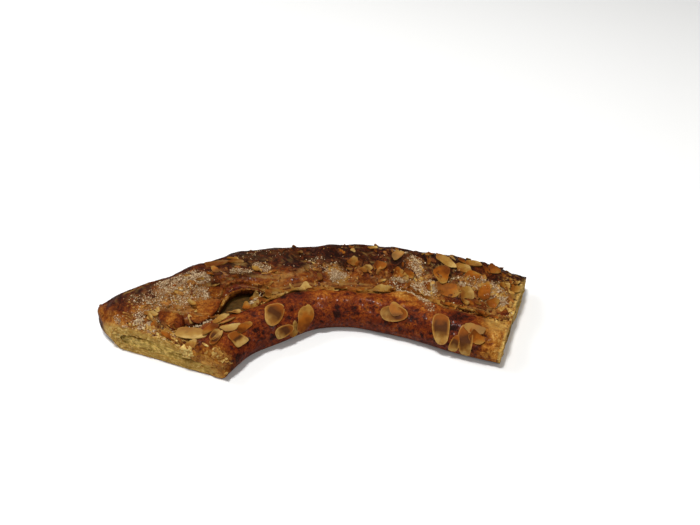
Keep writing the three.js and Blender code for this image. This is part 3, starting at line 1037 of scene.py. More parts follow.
def paint(code: str) -> tuple[float, float, float, float]:
    """Turn a six-digit colour code into linear light."""
    parts = [int(code[k : k + 2], 16) / 255.0 for k in (0, 2, 4)]
    linear = [part / 12.92 if part <= 0.04045 else ((part + 0.055) / 1.055) ** 2.4 for part in parts]
    return (linear[0], linear[1], linear[2], 1.0)


class SharedEffects:
    """Node groups that several finishes use."""

    _mottle: Optional[bpy.types.NodeTree] = None

    @classmethod
    def mottle(cls) -> bpy.types.NodeTree:
        """Return the group that browns a colour unevenly, as an oven does.

        Returns:
            A group with the inputs Colour, Dark, Amount and Size and the outputs Colour
            and Height.
        """
        if cls._mottle is not None:
            return cls._mottle
        tree = bpy.data.node_groups.new("uneven_browning", "ShaderNodeTree")
        for label, side, kind in (
            ("Colour", "INPUT", "Color"), ("Dark", "INPUT", "Color"), ("Amount", "INPUT", "Float"),
            ("Size", "INPUT", "Float"), ("Colour", "OUTPUT", "Color"), ("Height", "OUTPUT", "Float"),
        ):
            tree.interface.new_socket(label, in_out=side, socket_type="NodeSocket" + kind)
        bench = Bench(tree)
        given = bench.add("NodeGroupInput")
        result = bench.add("NodeGroupOutput")
        broad = bench.add("ShaderNodeTexNoise")
        bench.feed(broad.inputs["Vector"], bench.place())
        bench.feed(broad.inputs["Scale"], given.outputs["Size"])
        hold(broad, {"Detail": 5.0, "Roughness": 0.6})
        share = bench.span(broad.outputs["Fac"], 0.38, 0.66)
        share = bench.times(share, given.outputs["Amount"])
        colour = bench.mix(share, given.outputs["Colour"], given.outputs["Dark"])
        bench.feed(result.inputs["Colour"], colour)
        bench.feed(result.inputs["Height"], broad.outputs["Fac"])
        cls._mottle = tree
        return tree

    @classmethod
    def browned(
        cls, bench: Bench, colour: object, dark: object, amount: object, size_mm: float
    ) -> tuple[Socket, Socket]:
        """Place the browning group in a material.

        Args:
            bench: the material's bench.
            colour: the lighter colour.
            dark: the colour of the darker areas.
            amount: how strong the darker areas are.
            size_mm: how large they are.

        Returns:
            The browned colour and a height value.
        """
        node = bench.add("ShaderNodeGroup")
        node.node_tree = cls.mottle()
        bench.feed(node.inputs["Colour"], colour)
        bench.feed(node.inputs["Dark"], dark)
        bench.feed(node.inputs["Amount"], amount)
        node.inputs["Size"].default_value = 1000.0 / size_mm
        return node.outputs["Colour"], node.outputs["Height"]


def new_material(name: str) -> tuple[Material, Bench, bpy.types.Node]:
    """Make an empty material.

    Args:
        name: its name.

    Returns:
        The material, its bench and its Principled shader.
    """
    material = bpy.data.materials.new(name)
    material.use_nodes = True
    material.node_tree.nodes.clear()
    bench = Bench(material.node_tree)
    shader = bench.add("ShaderNodeBsdfPrincipled")
    output = bench.add("ShaderNodeOutputMaterial")
    bench.feed(output.inputs["Surface"], shader.outputs["BSDF"])
    return material, bench, shader


@dataclass(frozen=True)
class BakedCrust:
    """The crust: golden to nearly black, glossy with egg wash, sugared or pale inside."""

    name: str = "baked_crust"
    brown: tuple[tuple[float, str], ...] = (
        (0.0, "c5984e"), (0.25, "a06924"), (0.45, "7b460e"), (0.6, "623108"),
        (0.75, "471e05"), (0.88, "311403"), (1.0, "1b0b02"),
    )
    red: tuple[tuple[float, str], ...] = (
        (0.0, "bf8638"), (0.25, "9a5719"), (0.45, "7f3b0d"), (0.6, "692809"),
        (0.75, "541c08"), (0.88, "3b1207"), (1.0, "200a05"),
    )
    crumb: str = "9a7832"
    crumb_light: str = "d4b264"
    crumb_brown: str = "8b5d20"
    torn: str = "b58c4c"
    sugar: str = "8b673c"
    sugar_light: str = "d0b387"

    def build(self) -> Material:
        """Return the material."""
        material, bench, shader = new_material(self.name)
        names = ("tone", "wash", "sugar", "pale", "torn", "layers")
        tone, wash, sugar, pale, torn, layers = [bench.value(name) for name in names]
        fine = bench.noise(2.6, 6.0, 0.72, 0.3)
        specks = bench.noise(1.0, 4.0, 0.65)
        pits = bench.span(bench.cells(1.9), 0.05, 0.4, 1.0, 0.0)
        patchy = bench.span(bench.noise(11.0, 3.0), 0.42, 0.6)
        pitted = bench.times(pits, patchy)
        shifted = bench.plus(tone, bench.span(fine, 0.34, 0.66, -0.18, 0.18))
        shifted = bench.plus(shifted, bench.span(specks, 0.36, 0.64, -0.12, 0.12))
        shifted = bench.plus(shifted, bench.times(pitted, 0.28), clamp=True)
        freckles = bench.span(bench.noise(2.2, 3.0, 0.6), 0.57, 0.66)
        freckles = bench.times(freckles, bench.span(wash, 0.3, 0.7, 0.25, 0.95))
        reddish = bench.span(wash, 0.1, 0.6)
        crust = bench.mix(reddish, bench.ramp(shifted, self.brown), bench.ramp(shifted, self.red))
        crust, broad = SharedEffects.browned(bench, crust, bench.mix(0.6, crust, paint("1d0b06")), 0.5, 6.0)
        crust = bench.mix(freckles, crust, bench.mix(0.75, crust, paint("1d0905")))
        edge = bench.times(torn, bench.span(specks, 0.3, 0.6, 0.35, 1.0))
        crust = bench.mix(bench.times(edge, 0.75, clamp=True), crust, paint(self.torn))
        lines = bench.add("ShaderNodeTexNoise", noise_dimensions="1D")
        bench.feed(lines.inputs["W"], bench.plus(layers, bench.times(bench.noise(7.0), 1.6)))
        hold(lines, {"Scale": 0.9, "Detail": 3.0})
        grainy = bench.plus(bench.times(lines.outputs["Fac"], 0.35), bench.times(fine, 0.65))
        crumb = bench.mix(bench.span(grainy, 0.42, 0.58), paint(self.crumb), paint(self.crumb_light))
        crumb, _ = SharedEffects.browned(bench, crumb, paint(self.crumb_brown), 0.4, 5.0)
        # Painted shade: the crumb is darkened along the edges of a cell pattern, which stand for its shaded
        # pockets.
        crumb_hollow_shade = bench.span(bench.cells(2.3, "SMOOTH_F1"), 0.32, 0.55)
        crumb = bench.mix(bench.times(crumb_hollow_shade, 0.4), crumb, paint(self.crumb_brown))
        colour = bench.mix(pale, crust, crumb)
        sparkle = bench.span(bench.cells(0.8), 0.05, 0.34, 1.0, 0.0)
        hollow = bench.span(bench.cells(1.5, "SMOOTH_F1"), 0.2, 0.5)
        sugar_colour = bench.mix(bench.times(sparkle, 0.75), paint(self.sugar), paint(self.sugar_light))
        sugar_colour = bench.mix(bench.times(hollow, 0.6), sugar_colour, crust)
        cover = bench.times(sugar, bench.span(fine, 0.36, 0.56, 0.25, 1.0), clamp=True)
        colour = bench.mix(bench.times(cover, 0.8), colour, sugar_colour)
        bench.feed(shader.inputs["Base Color"], colour)
        rough = bench.math("SUBTRACT", bench.span(fine, 0.2, 0.8, 0.58, 0.78), bench.times(wash, 0.22))
        bench.feed(shader.inputs["Roughness"], bench.plus(rough, bench.times(sugar, 0.1), clamp=True))
        blobs = bench.span(bench.noise(1.5, 3.0, 0.6), 0.52, 0.62)
        gloss = bench.times(wash, bench.times(blobs, bench.span(patchy, 0.0, 1.0, 0.12, 0.45)))
        bench.feed(shader.inputs["Coat Weight"], gloss)
        hold(shader, {
            "Coat Roughness": 0.21, "Specular IOR Level": 0.05, "Subsurface Weight": 0.04,
            "Subsurface Radius": (1.0, 0.5, 0.2), "Subsurface Scale": 0.0012,
        })
        skin = bench.bump(fine, 0.8, 0.8)
        skin = bench.bump(specks, 0.3, 0.8, skin)
        skin = bench.bump(pitted, 0.25, 0.6, skin)
        crumb_height = bench.times(lines.outputs["Fac"], pale)
        skin = bench.bump(crumb_height, 0.7, 0.8, skin)
        sugar_height = bench.times(bench.span(bench.cells(1.1), 0.0, 0.6, 1.0, 0.0), sugar)
        skin = bench.bump(sugar_height, 0.5, 0.8, skin)
        bench.feed(shader.inputs["Normal"], bench.bump(broad, 0.5, 0.4, skin))
        return material


@dataclass(frozen=True)
class AlmondSlice:
    """Flaked almond: pale, toasted orange or soaked until its middle turns clear."""

    name: str = "flaked_almond"
    pale: str = "916d2e"
    pale_brown: str = "7a4614"
    toasted: str = "8c4a0f"
    toasted_dark: str = "552508"
    glow: str = "7c4213"
    clear: str = "3f2011"
    rim: str = "a88142"
    light: str = "b89a5c"

    def build(self) -> Material:
        """Return the material."""
        material, bench, shader = new_material(self.name)
        names = ("toast", "clear", "rim", "length", "shade")
        toast, clear, rim, length, shade = [bench.value(name) for name in names]
        veins = bench.noise(2.2, 5.0, 0.65, 0.4)
        soft = bench.noise(6.5, 1.0, 0.5)
        drift = bench.plus(length, bench.span(soft, 0.3, 0.7, -0.4, 0.4))
        pale = bench.mix(bench.span(drift, -0.8, 0.1), paint(self.pale_brown), paint(self.pale))
        pale = bench.mix(bench.span(drift, 0.2, 0.9, 0.0, 0.9), pale, paint(self.light))
        warm = bench.mix(bench.span(drift, -0.8, 0.1), paint(self.toasted_dark), paint(self.toasted))
        warm = bench.mix(bench.span(drift, 0.2, 1.0, 0.0, 0.85), warm, paint(self.pale))
        colour = bench.mix(toast, pale, warm)
        blotch = bench.span(bench.noise(4.5, 2.0, 0.5, 0.3), 0.52, 0.66)
        colour = bench.mix(bench.times(blotch, 0.4), colour, paint(self.toasted_dark))
        colour = bench.mix(bench.span(veins, 0.4, 0.62, 0.0, 0.3), colour, paint(self.pale_brown))
        colour = bench.mix(bench.span(shade, 0.0, 1.0, 0.0, 0.8), colour, paint(self.toasted_dark))
        colour = bench.mix(bench.span(shade, 0.0, -0.5, 0.0, 0.5), colour, paint(self.light))
        shift = bench.plus(length, bench.span(soft, 0.3, 0.7, -0.12, 0.12))
        orange = bench.times(clear, bench.span(shift, -0.55, -0.25, 0.9, 0.0))
        colour = bench.mix(orange, colour, paint(self.glow))
        inner = bench.span(rim, 0.68, 0.9, 1.0, 0.0)
        middle = bench.times(bench.span(shift, -0.75, -0.35), bench.span(shift, 0.05, 0.6, 1.0, 0.0))
        middle = bench.times(bench.times(clear, inner, clamp=True), middle)
        colour = bench.mix(bench.times(middle, 0.9), colour, paint(self.clear))
        edge = bench.times(bench.span(rim, 0.9, 0.97), bench.span(soft, 0.35, 0.6, 0.1, 0.8))
        edge = bench.times(edge, bench.span(clear, 0.0, 1.0, 0.35, 1.0))
        colour = bench.mix(edge, colour, paint(self.rim))
        bench.feed(shader.inputs["Base Color"], colour)
        bench.feed(shader.inputs["Roughness"], bench.span(veins, 0.3, 0.7, 0.42, 0.6))
        hold(shader, {
            "Specular IOR Level": 0.03, "Subsurface Weight": 0.06,
            "Subsurface Radius": (1.0, 0.6, 0.25), "Subsurface Scale": 0.0012,
        })
        skin = bench.bump(veins, 0.3, 0.6)
        bench.feed(shader.inputs["Normal"], bench.bump(bench.noise(0.8), 0.08, 0.6, skin))
        return material


@dataclass(frozen=True)
class CoarseSugar:
    """Coarse sugar, whitish to amber where it began to melt."""

    name: str = "coarse_sugar"
    white: str = "dfc9a2"
    amber: str = "84592f"

    def build(self) -> Material:
        """Return the material."""
        material, bench, shader = new_material(self.name)
        tint = bench.value("tint")
        spots = bench.noise(1.4, 3.0)
        colour = bench.mix(tint, paint(self.white), paint(self.amber))
        colour = bench.mix(bench.span(spots, 0.45, 0.8, 0.0, 0.4), colour, paint(self.amber))
        bench.feed(shader.inputs["Base Color"], colour)
        bench.feed(shader.inputs["Roughness"], bench.span(spots, 0.3, 0.7, 0.3, 0.55))
        hold(shader, {
            "Specular IOR Level": 0.35, "Subsurface Weight": 0.15,
            "Subsurface Radius": (1.0, 0.8, 0.55), "Subsurface Scale": 0.001,
        })
        bench.feed(shader.inputs["Normal"], bench.bump(spots, 0.15, 0.6))
        return material


@dataclass(frozen=True)
class BakedShard:
    """Thin loose bits and crumbs of crust."""

    name: str = "crust_shard"
    stops: tuple[tuple[float, str], ...] = (
        (0.0, "cfb36c"), (0.25, "ac803c"), (0.5, "7f4e20"), (0.75, "552b10"), (1.0, "2a120a"),
    )

    def build(self) -> Material:
        """Return the material."""
        material, bench, shader = new_material(self.name)
        fine = bench.noise(1.6, 4.0, 0.6)
        shade = bench.plus(bench.value("tone"), bench.span(fine, 0.3, 0.7, -0.2, 0.2), clamp=True)
        colour = bench.ramp(shade, self.stops)
        colour, _ = SharedEffects.browned(bench, colour, paint("4a220e"), 0.4, 3.0)
        bench.feed(shader.inputs["Base Color"], colour)
        bench.feed(shader.inputs["Roughness"], bench.span(fine, 0.2, 0.8, 0.55, 0.75))
        hold(shader, {
            "Specular IOR Level": 0.06, "Subsurface Weight": 0.05, "Subsurface Scale": 0.001,
        })
        bench.feed(shader.inputs["Normal"], bench.bump(fine, 0.3, 0.7))
        return material


@dataclass(frozen=True)
class AlmondPaste:
    """The filling: pale and soft where it is cut, dark and olive inside the strip, partly its baked colour
    and partly painted shade of the opening.
    """

    name: str = "almond_filling"
    cut: str = "8c6d2b"
    cut_light: str = "cfae5c"
    baked: str = "513817"
    baked_dark: str = "35230c"

    def build(self) -> Material:
        """Return the material."""
        material, bench, shader = new_material(self.name)
        bake_and_shade = bench.value("bake_and_shade")
        soft = bench.noise(3.4, 5.0, 0.68)
        cut = bench.mix(bench.span(soft, 0.42, 0.58), paint(self.cut), paint(self.cut_light))
        wet = bench.math("SUBTRACT", 1.0, bake_and_shade, clamp=True)
        wet = bench.times(bench.span(bench.noise(1.6, 3.0, 0.6), 0.56, 0.64, 0.0, 0.5), wet)
        bench.feed(shader.inputs["Coat Weight"], wet)
        shader.inputs["Coat Roughness"].default_value = 0.2
        # Painted shade: the dark olive inside the strip is partly the filling's baked colour and partly the
        # shade of the opening where it shows.
        baked = bench.mix(bench.span(soft, 0.4, 0.68), paint(self.baked), paint(self.baked_dark))
        colour = bench.mix(bake_and_shade, cut, baked)
        bench.feed(shader.inputs["Base Color"], colour)
        rough = bench.math("SUBTRACT", bench.span(soft, 0.2, 0.8, 0.55, 0.7), bench.times(bake_and_shade, 0.12))
        bench.feed(shader.inputs["Roughness"], rough)
        hold(shader, {"Specular IOR Level": 0.1, "Subsurface Weight": 0.1, "Subsurface Scale": 0.0012})
        skin = bench.bump(soft, 0.7, 0.5)
        bench.feed(shader.inputs["Normal"], bench.bump(bench.noise(1.1), 0.15, 0.6, skin))
        return material


# The pieces


@dataclass
class DoughFold:
    """The folded dough as one closed skin with cut, layered ends."""

    form: FoldForm
    zones: CrustZones
    stations: int = 150
    rounds: int = 104
    depth_steps: int = 9
    cut_relief: float = 1.3

    def slab(self) -> Piece:
        """Model the unfolded slab: its sides are the strip's s, u and w between 0 and 1.

        Returns:
            The slab, finely divided on its skin and its cut ends.
        """
        select_none()
        bpy.ops.mesh.primitive_grid_add(x_subdivisions=self.stations, y_subdivisions=self.rounds, size=1.0)
        slab = bpy.context.active_object
        name_piece(slab, "pastry_crust")
        bpy.ops.object.mode_set(mode="EDIT")
        bpy.ops.mesh.select_mode(type="FACE")
        bpy.ops.mesh.select_all(action="SELECT")
        for _ in range(self.depth_steps):
            move = {"value": (0.0, 0.0, -1.0 / self.depth_steps)}
            bpy.ops.mesh.extrude_region_move(TRANSFORM_OT_translate=move)
        bpy.ops.mesh.select_all(action="DESELECT")
        bpy.ops.object.mode_set(mode="OBJECT")
        for face in slab.data.polygons:
            centre = face.center
            round_place = self.round_place(centre.y + 0.5)
            hidden = centre.z < -0.999 or (centre.z > -0.001 and 0.31 < round_place < 0.52)
            face.select = not hidden
        bpy.ops.object.mode_set(mode="EDIT")
        bpy.ops.mesh.subdivide(number_cuts=1)
        bpy.ops.mesh.select_all(action="DESELECT")
        bpy.ops.mesh.select_face_by_sides(number=4, type="GREATER")
        bpy.ops.mesh.quads_convert_to_tris()
        bpy.ops.object.mode_set(mode="OBJECT")
        return slab

    def round_place(self, share: Array) -> Array:
        """Return the place round the section for a row of the slab, closer where it shows."""
        return np.interp(share, (0.0, 0.4, 0.47, 1.0), (0.0, 0.3, 0.54, 1.0))

    def cut_face(self, s: Array, u: Array, w: Array, points: Array) -> Array:
        """Return how far the layers of each cut end stand out or in, in millimetres."""
        depth = np.stack([u * self.form.girth / 5.0, w * 9.0, s * 40.0], axis=1)
        layers = layered_noise(depth, 1.0, 91)
        crumb = layered_noise(points, 3.6, 92)
        fade = np.clip(np.minimum(w, 1.0 - w) * 10.0, 0.25, 1.0)
        broad = layered_noise(points, 15.0, 93)
        lumps = np.abs(lattice_noise(points, 5.5, 94)) * (s < 0.5)
        return self.cut_relief * (0.3 * layers + 0.9 * crumb + 1.2 * lumps) * fade + 1.7 * broad * (s > 0.5)

    def close_roll(self, points: Array, s: Array, w: Array) -> Array:
        """Press the roll's left cut end shut, as the knife left it.

        Args:
            points: the fold's points.
            s: their stations.
            w: their depths.

        Returns:
            The points with the inside of the roll closed at the left end.
        """
        shape = self.form.section(s)
        across = ((points[:, :2] - shape["near_edge"]) * shape["across"]).sum(axis=1)
        share = w * (1.0 - ramp(across - shape["seam"], -6.0, -0.5)) * (1.0 - ramp(s, 0.012, 0.04))
        points[:, 2] += (9.2 - points[:, 2]) * share
        return points

    def build(self, material: Material) -> Piece:
        """Fold the slab into the strip and dress it.

        Args:
            material: the crust's finish.

        Returns:
            The finished piece.
        """
        piece = self.slab()
        mesh = piece.data
        unit = read_points(mesh)
        s = np.clip(unit[:, 0] + 0.5, 0.0, 1.0)
        u = self.round_place(np.clip(unit[:, 1] + 0.5, 0.0, 1.0))
        w = np.clip(-unit[:, 2], 0.0, 1.0)
        points = self.close_roll(self.form.place(s, u, w, self.zones.height(s, u)), s, w)
        ahead = self.form.place(np.minimum(s + 0.004, 1.0), u, w)
        behind = self.form.place(np.maximum(s - 0.004, 0.0), u, w)
        along = ahead - behind
        along = along / np.linalg.norm(along, axis=1)[:, None]
        ends = np.where(s < 0.0005, -1.0, np.where(s > 0.9995, 1.0, 0.0))
        points = points + along * (ends * self.cut_face(s, u, w, points))[:, None]
        points[:, 2] = np.maximum(points[:, 2], 0.0)
        write_points(mesh, points * MM)
        outer = self.form.place(s, u, np.zeros(len(s)))
        inner = self.form.place(s, u, np.ones(len(s)))
        layers = w * np.linalg.norm(outer - inner, axis=1)
        inside = np.clip((w - 0.04) / 0.08, 0.0, 1.0)
        roll_end = np.where(s < 0.5, 1.0, 0.35) * (1.0 - ramp(u, 0.26, 0.38)) * 0.85
        lip = np.where((u < 0.001) | (u > 0.999), 1.0, 0.0) * (np.abs(ends) < 0.5)
        pale = np.maximum(self.zones.pale(s, u) * (w < 0.04), inside * (1.0 - roll_end) * (1.0 - lip))
        tone = self.zones.tone(s, u, outer)
        # Painted shade: the face of each seam lip darkens towards the inside of the fold, where it lies in
        # shade; the rise between s 0.28 and 0.33 is its baked tone.
        lip_tone_and_shade = lip * (0.05 + 0.3 * ramp(s, 0.28, 0.33) + 0.6 * w)
        tone = np.where(w > 0.04, 0.26 + 0.32 * layered_noise(points, 6.0, 95) + lip_tone_and_shade, tone)
        skin = 1.0 - np.clip(w * 20.0, 0.0, 1.0)
        write_value(mesh, "tone", tone)
        write_value(mesh, "torn", self.zones.torn(s, u, outer) * (w < 0.04))
        write_value(mesh, "pale", pale)
        write_value(mesh, "sugar", self.zones.sugar(s, u, outer) * skin)
        write_value(mesh, "wash", np.maximum(self.zones.wash(s, u, outer) * skin, 0.4 * inside * roll_end))
        write_value(mesh, "layers", layers)
        mesh.materials.clear()
        mesh.materials.append(material)
        face_outward(piece)
        smooth_piece(piece, 60.0)
        return piece


@dataclass
class DoughTongue:
    """A smooth tongue of dough that the far flap lays over the seam.

    The middle line and half width run from its root to its tip, level is its height at the
    root, slope is how much it drops from left to right, droop how its right side hangs, fall
    how much it drops toward the tip and sink how its rim drops, all in millimetres. streak is
    how much paler a slanting streak over its middle is.
    """

    name: str = "dough_tongue"
    thickness: float = 1.7
    middle_x: tuple[float, ...] = (-83.0, -83.5, -84.5, -86.5, -88.5, -90.0)
    middle_y: tuple[float, ...] = (17.0, 11.5, 6.0, 0.0, -6.5, -13.0)
    half_width: tuple[float, ...] = (9.0, 10.2, 10.6, 10.0, 8.8, 5.0)
    level: float = 20.3
    slope: float = 0.7
    droop: float = 0.9
    fall: float = 0.4
    sink: float = 0.5
    tone: float = 0.4
    edge_tone: float = 0.18
    streak: float = 0.0
    sugared: float = 0.5

    def build(self, material: Material) -> Piece:
        """Lay the tongue over the seam.

        Args:
            material: the crust's finish.

        Returns:
            The finished piece.
        """
        piece = thick_sheet(26, 34, 1.0, -1.0)
        name_piece(piece, self.name)
        unit = read_points(piece.data)
        along = np.clip(0.5 - unit[:, 1], 0.0, 1.0)
        aside = np.clip(2.0 * unit[:, 0], -1.0, 1.0)
        stations = np.linspace(0.0, 1.0, len(self.middle_x))
        ragged = np.stack([14.0 * along, 9.0 * aside, 0.0 * along], axis=1)
        half = np.interp(along, stations, self.half_width) * (1.0 + 0.1 * layered_noise(ragged, 5.0, 81))
        x = np.interp(along, stations, self.middle_x) + half * aside
        y = np.interp(along, stations, self.middle_y) + 3.0 * aside**2 * along**2
        edge = np.maximum(ramp(np.abs(aside), 0.72, 1.0), ramp(along, 0.9, 1.0))
        plan = np.stack([x, y, 0.0 * x], axis=1)
        z = self.level - self.slope * aside - self.droop * np.maximum(aside, 0.0) ** 2
        z = z - self.fall * along**2 - 1.6 * (1.0 - ramp(along, 0.0, 0.25)) - self.sink * edge**2
        z = z + 0.7 * layered_noise(plan, 9.0, 82)
        depth = self.thickness * (1.0 - 0.45 * edge)
        z = z + np.where(unit[:, 2] < -0.5, -depth, 0.0)
        write_points(piece.data, np.stack([x, y, z], axis=1) * MM)
        tone = self.tone + self.edge_tone * edge + 0.16 * layered_noise(plan, 7.0, 83)
        slant = np.abs(aside - 0.35 + 0.8 * along + 0.25 * layered_noise(plan, 5.0, 84))
        tone = tone - self.streak * (1.0 - ramp(slant, 0.05, 0.5)) * (1.0 - ramp(along, 0.6, 0.9))
        write_value(piece.data, "tone", tone + 0.4 * (unit[:, 2] < -0.5))
        write_value(piece.data, "wash", 0.35 + 0.2 * ramp(aside, 0.2, 1.0))
        write_value(piece.data, "sugar", self.sugared * (1.0 - ramp(along, 0.1, 0.35)))
        for name in ("torn", "pale", "layers"):
            write_value(piece.data, name, 0.0 * x)
        piece.data.materials.append(material)
        smooth_piece(piece, 50.0)
        return piece


class FlakeKind(Enum):
    """How an almond flake baked."""

    PALE = "pale"
    TOASTED = "toasted"
    CLEAR = "clear"


@dataclass(frozen=True)
class Flake:
    """One almond flake: its place, turn, size and tilt, its look and its outline.

    square is 2 for an oval and more for a blockier outline, chip is the share broken off
    one end, sag is how closely it follows the crust, shade makes it paler or darker, and
    flip swaps the ends of its colours. above lifts it over a flake that it lies on, and off
    moves one near the seam further across the strip. lean turns the run of its colours in
    degrees, and taper is how much narrower its far end is.
    """

    s: float
    u: float
    turn: float
    length: float
    width: float
    tilt: float
    kind: FlakeKind = FlakeKind.PALE
    square: float = 2.3
    chip: float = 0.0
    sag: float = 0.85
    shade: float = 0.0
    flip: float = 1.0
    above: float = 0.0
    off: float = 0.0
    lean: float = 0.0
    taper: float = 0.2


LOW_SIDE = -60.0
# Half of a flake's outline, as a share of its length or width
FLAKE_HALF = 0.53
PALE = FlakeKind.PALE
TOASTED = FlakeKind.TOASTED
CLEAR = FlakeKind.CLEAR


@dataclass
class AlmondFlakes:
    """The flaked almonds: those of the solid, more along the seam, and small slivers."""

    surface: SkinSurface
    thickness: float = 0.6
    lift: float = 0.25
    slivers: int = 215
    seed: int = 20117
    chosen: tuple[Flake, ...] = (
        Flake(0.81, 0.8, -30, 18, 7, 4),
        Flake(0.85, 0.81, -20, 13, 8.5, 4, shade=0.2),
        Flake(0.87, 0.785, 0, 12, 6.5, 5, shade=0.2),
        Flake(0.915, 0.77, -5, 10, 8, 8, TOASTED, 3.0, shade=0.3),
        Flake(0.805, 0.84, -80, 20, 11, 6, TOASTED, 2.6),
        Flake(0.875, 0.825, 25, 13.5, 8, 10, TOASTED, 3.0, 0.15),
        Flake(0.83, 0.875, 10, 19, 12, 6, TOASTED, 3.0),
        Flake(0.87, 0.87, 15, 12, 9.5, 8, PALE, 3.4, 0.1, shade=0.15),
        Flake(0.91, 0.855, 85, 15.5, 8.5, 8, TOASTED, 2.6),
        Flake(0.935, 0.88, -5, 9, 7, 14, TOASTED, 3.0, 0.2, shade=0.2),
        Flake(0.95, 0.825, 25, 8, 6, 8),
        Flake(0.985, 0.82, 0, 8, 7, 6, PALE, 3.5, 0.2),
        Flake(0.83, 0.165, -80, 20.5, 12, 2, CLEAR, 2.6),
        Flake(0.875, 0.205, 80, 13.5, 6, 3, CLEAR, 2.4, flip=-1.0),
        Flake(0.9, 0.19, -80, 19, 9.5, 2, CLEAR, 2.8),
        Flake(0.915, 0.12, 5, 14, 7, 8, TOASTED, 2.4, shade=-0.2, flip=-1.0),
        Flake(0.925, 0.15, -25, 12, 8, 10, TOASTED, 2.6, 0.2),
        Flake(0.835, 0.975, -10, 12.5, 5, 10, TOASTED, 2.4),
        Flake(0.81, 0.965, 30, 9, 6, 14, PALE, 3.0, 0.25),
        Flake(0.59, 0.83, 45, 9, 6, 10, PALE, 3.0, 0.2, shade=0.4),
        Flake(0.655, 0.84, -20, 10, 9, 6, TOASTED, 3.0, 0.1, shade=0.3),
        Flake(0.62, 0.845, 25, 10.5, 5, 8, PALE, 3.2, 0.2, shade=0.2),
        Flake(0.705, 0.805, 50, 13, 6, 8, TOASTED, 2.4, 0.1, shade=-0.2),
        Flake(0.705, 0.865, -20, 9, 8, 8, TOASTED, 3.0, 0.1, shade=0.2),
        Flake(0.73, 0.855, -15, 9, 8, 8, TOASTED, 3.0, 0.1, shade=0.2),
        Flake(0.645, 0.965, 65, 12, 10, 12, PALE, 5.0),
        Flake(0.665, 0.985, 60, 12, 5, 20, PALE, 3.4, 0.1, shade=0.2),
        Flake(0.46, 0.97, 15, 16, 7, 8, PALE, shade=0.3),
        Flake(0.41, 0.985, 70, 8, 5, 10, PALE, shade=-0.2),
        Flake(0.385, 0.98, 10, 15, 5, 26, PALE, shade=0.1),
        Flake(0.4, 0.0, -12, 13, 4, -28, PALE, shade=0.4, above=0.5, off=-1.0),
        Flake(0.445, 0.0, 8, 14, 5, 24, TOASTED, 3.0, 0.1, shade=0.2, off=-2.0),
        Flake(0.485, 0.0, -15, 15, 5.5, 28, PALE, 2.4, shade=0.0, off=-2.0),
        Flake(0.52, 0.0, 20, 11, 4, -24, TOASTED, 3.0, 0.2, shade=0.5, above=0.5, off=-1.0),
        Flake(0.565, 0.0, -8, 14, 5, 26, TOASTED, 3.0, 0.1, shade=0.3, off=-2.0),
        Flake(0.61, 0.0, 14, 13, 4.5, 24, PALE, 3.0, 0.1, shade=0.4, off=-2.0),
        Flake(0.54, 0.985, -20, 12, 7, 8, TOASTED, 3.0, 0.1, shade=0.4),
        Flake(0.59, 0.985, 30, 13, 6, 8, TOASTED, 3.0, 0.1, shade=0.4),
        Flake(0.425, 0.95, 80, 13, 10.5, 8, PALE, 2.2, shade=-0.2),
        Flake(0.35, 0.97, 5, 17, 6, 8, PALE, shade=0.25),
        Flake(0.68, 0.13, 15, 10.5, 10, 4, TOASTED, 2.0, shade=-0.05, above=0.9, lean=90.0),
        Flake(0.67, 0.15, 15, 20.5, 11, 1, CLEAR, shade=0.5, flip=-1.0),
        Flake(0.315, 0.785, -30, 16, 7, 4, PALE, shade=1.0),
        Flake(0.34, 0.81, -20, 11, 4.5, 4, PALE, shade=0.8),
        Flake(0.335, 0.02, -20, 14, 7, 6, PALE, shade=0.2),
        Flake(0.26, 0.115, 40, 23, 11, 3, CLEAR, 2.3, flip=-1.0, lean=20.0, taper=-0.12),
        Flake(0.245, 0.2, 10, 14, 8, 2, CLEAR, 2.4, flip=-1.0),
        Flake(0.285, 0.215, 70, 12.5, 5.5, 3, PALE, shade=0.15),
        Flake(0.335, 0.185, 50, 22, 10, 1, TOASTED, 2.2),
        Flake(0.21, 0.05, 0, 9, 6, 6, CLEAR),
        Flake(0.165, 0.06, 12, 14, 4.5, 16, PALE, shade=0.1),
        Flake(0.155, 0.075, -12, 12, 3.6, -14, TOASTED, shade=-0.1, flip=-1.0),
        Flake(0.125, 0.095, -30, 11, 7, 8, PALE, shade=-0.2),
        Flake(0.15, 0.115, 5, 12, 5.5, 12, TOASTED, shade=0.0),
        Flake(0.1, 0.07, -20, 13, 6, 10, TOASTED, shade=0.35, flip=-1.0),
        Flake(0.08, 0.085, 5, 10, 5, 12, CLEAR, shade=0.3),
        Flake(0.1, 0.14, 85, 11.5, 10, 5, CLEAR, 5.0, flip=-2.0),
        Flake(0.105, 0.845, -70, 11, 3.6, 18, shade=-0.1),
        Flake(0.06, 0.85, -20, 10, 4.5, 20, TOASTED),
        Flake(0.035, 0.88, 35, 10.5, 9.5, 8, TOASTED, 3.0, shade=0.1),
        Flake(0.195, 0.865, 70, 7, 5, 4),
        Flake(
            0.07, 0.945, -100, 22, 10, 5, PALE, 2.4, sag=0.3, shade=-0.1, above=1.7, off=-4.0, lean=LOW_SIDE
        ),
        Flake(0.148, 0.9, 60, 11, 2.6, 10, PALE, 3.0, shade=-0.2, above=0.8),
        Flake(0.085, 0.845, 10, 9, 3, 30, PALE, shade=-0.2),
        Flake(0.07, 0.853, 10, 8, 3, 25, TOASTED, shade=-0.1),
        Flake(0.1, 0.891, -24, 10, 4, 20, TOASTED),
        Flake(0.03, 0.03, -45, 8, 6.5, 10),
        Flake(0.068, 0.093, 4, 14, 4, 6, CLEAR),
        Flake(0.27, 0.0, 60, 9.5, 6, 14, TOASTED, 2.6, shade=-0.1, above=0.8, off=7.0),
        Flake(0.29, 0.0, 30, 10, 3.4, 20, PALE, shade=0.2, above=0.6, off=5.0),
        Flake(0.305, 0.0, 50, 9, 3, 16, TOASTED, shade=0.1, above=0.7, off=8.0),
    )

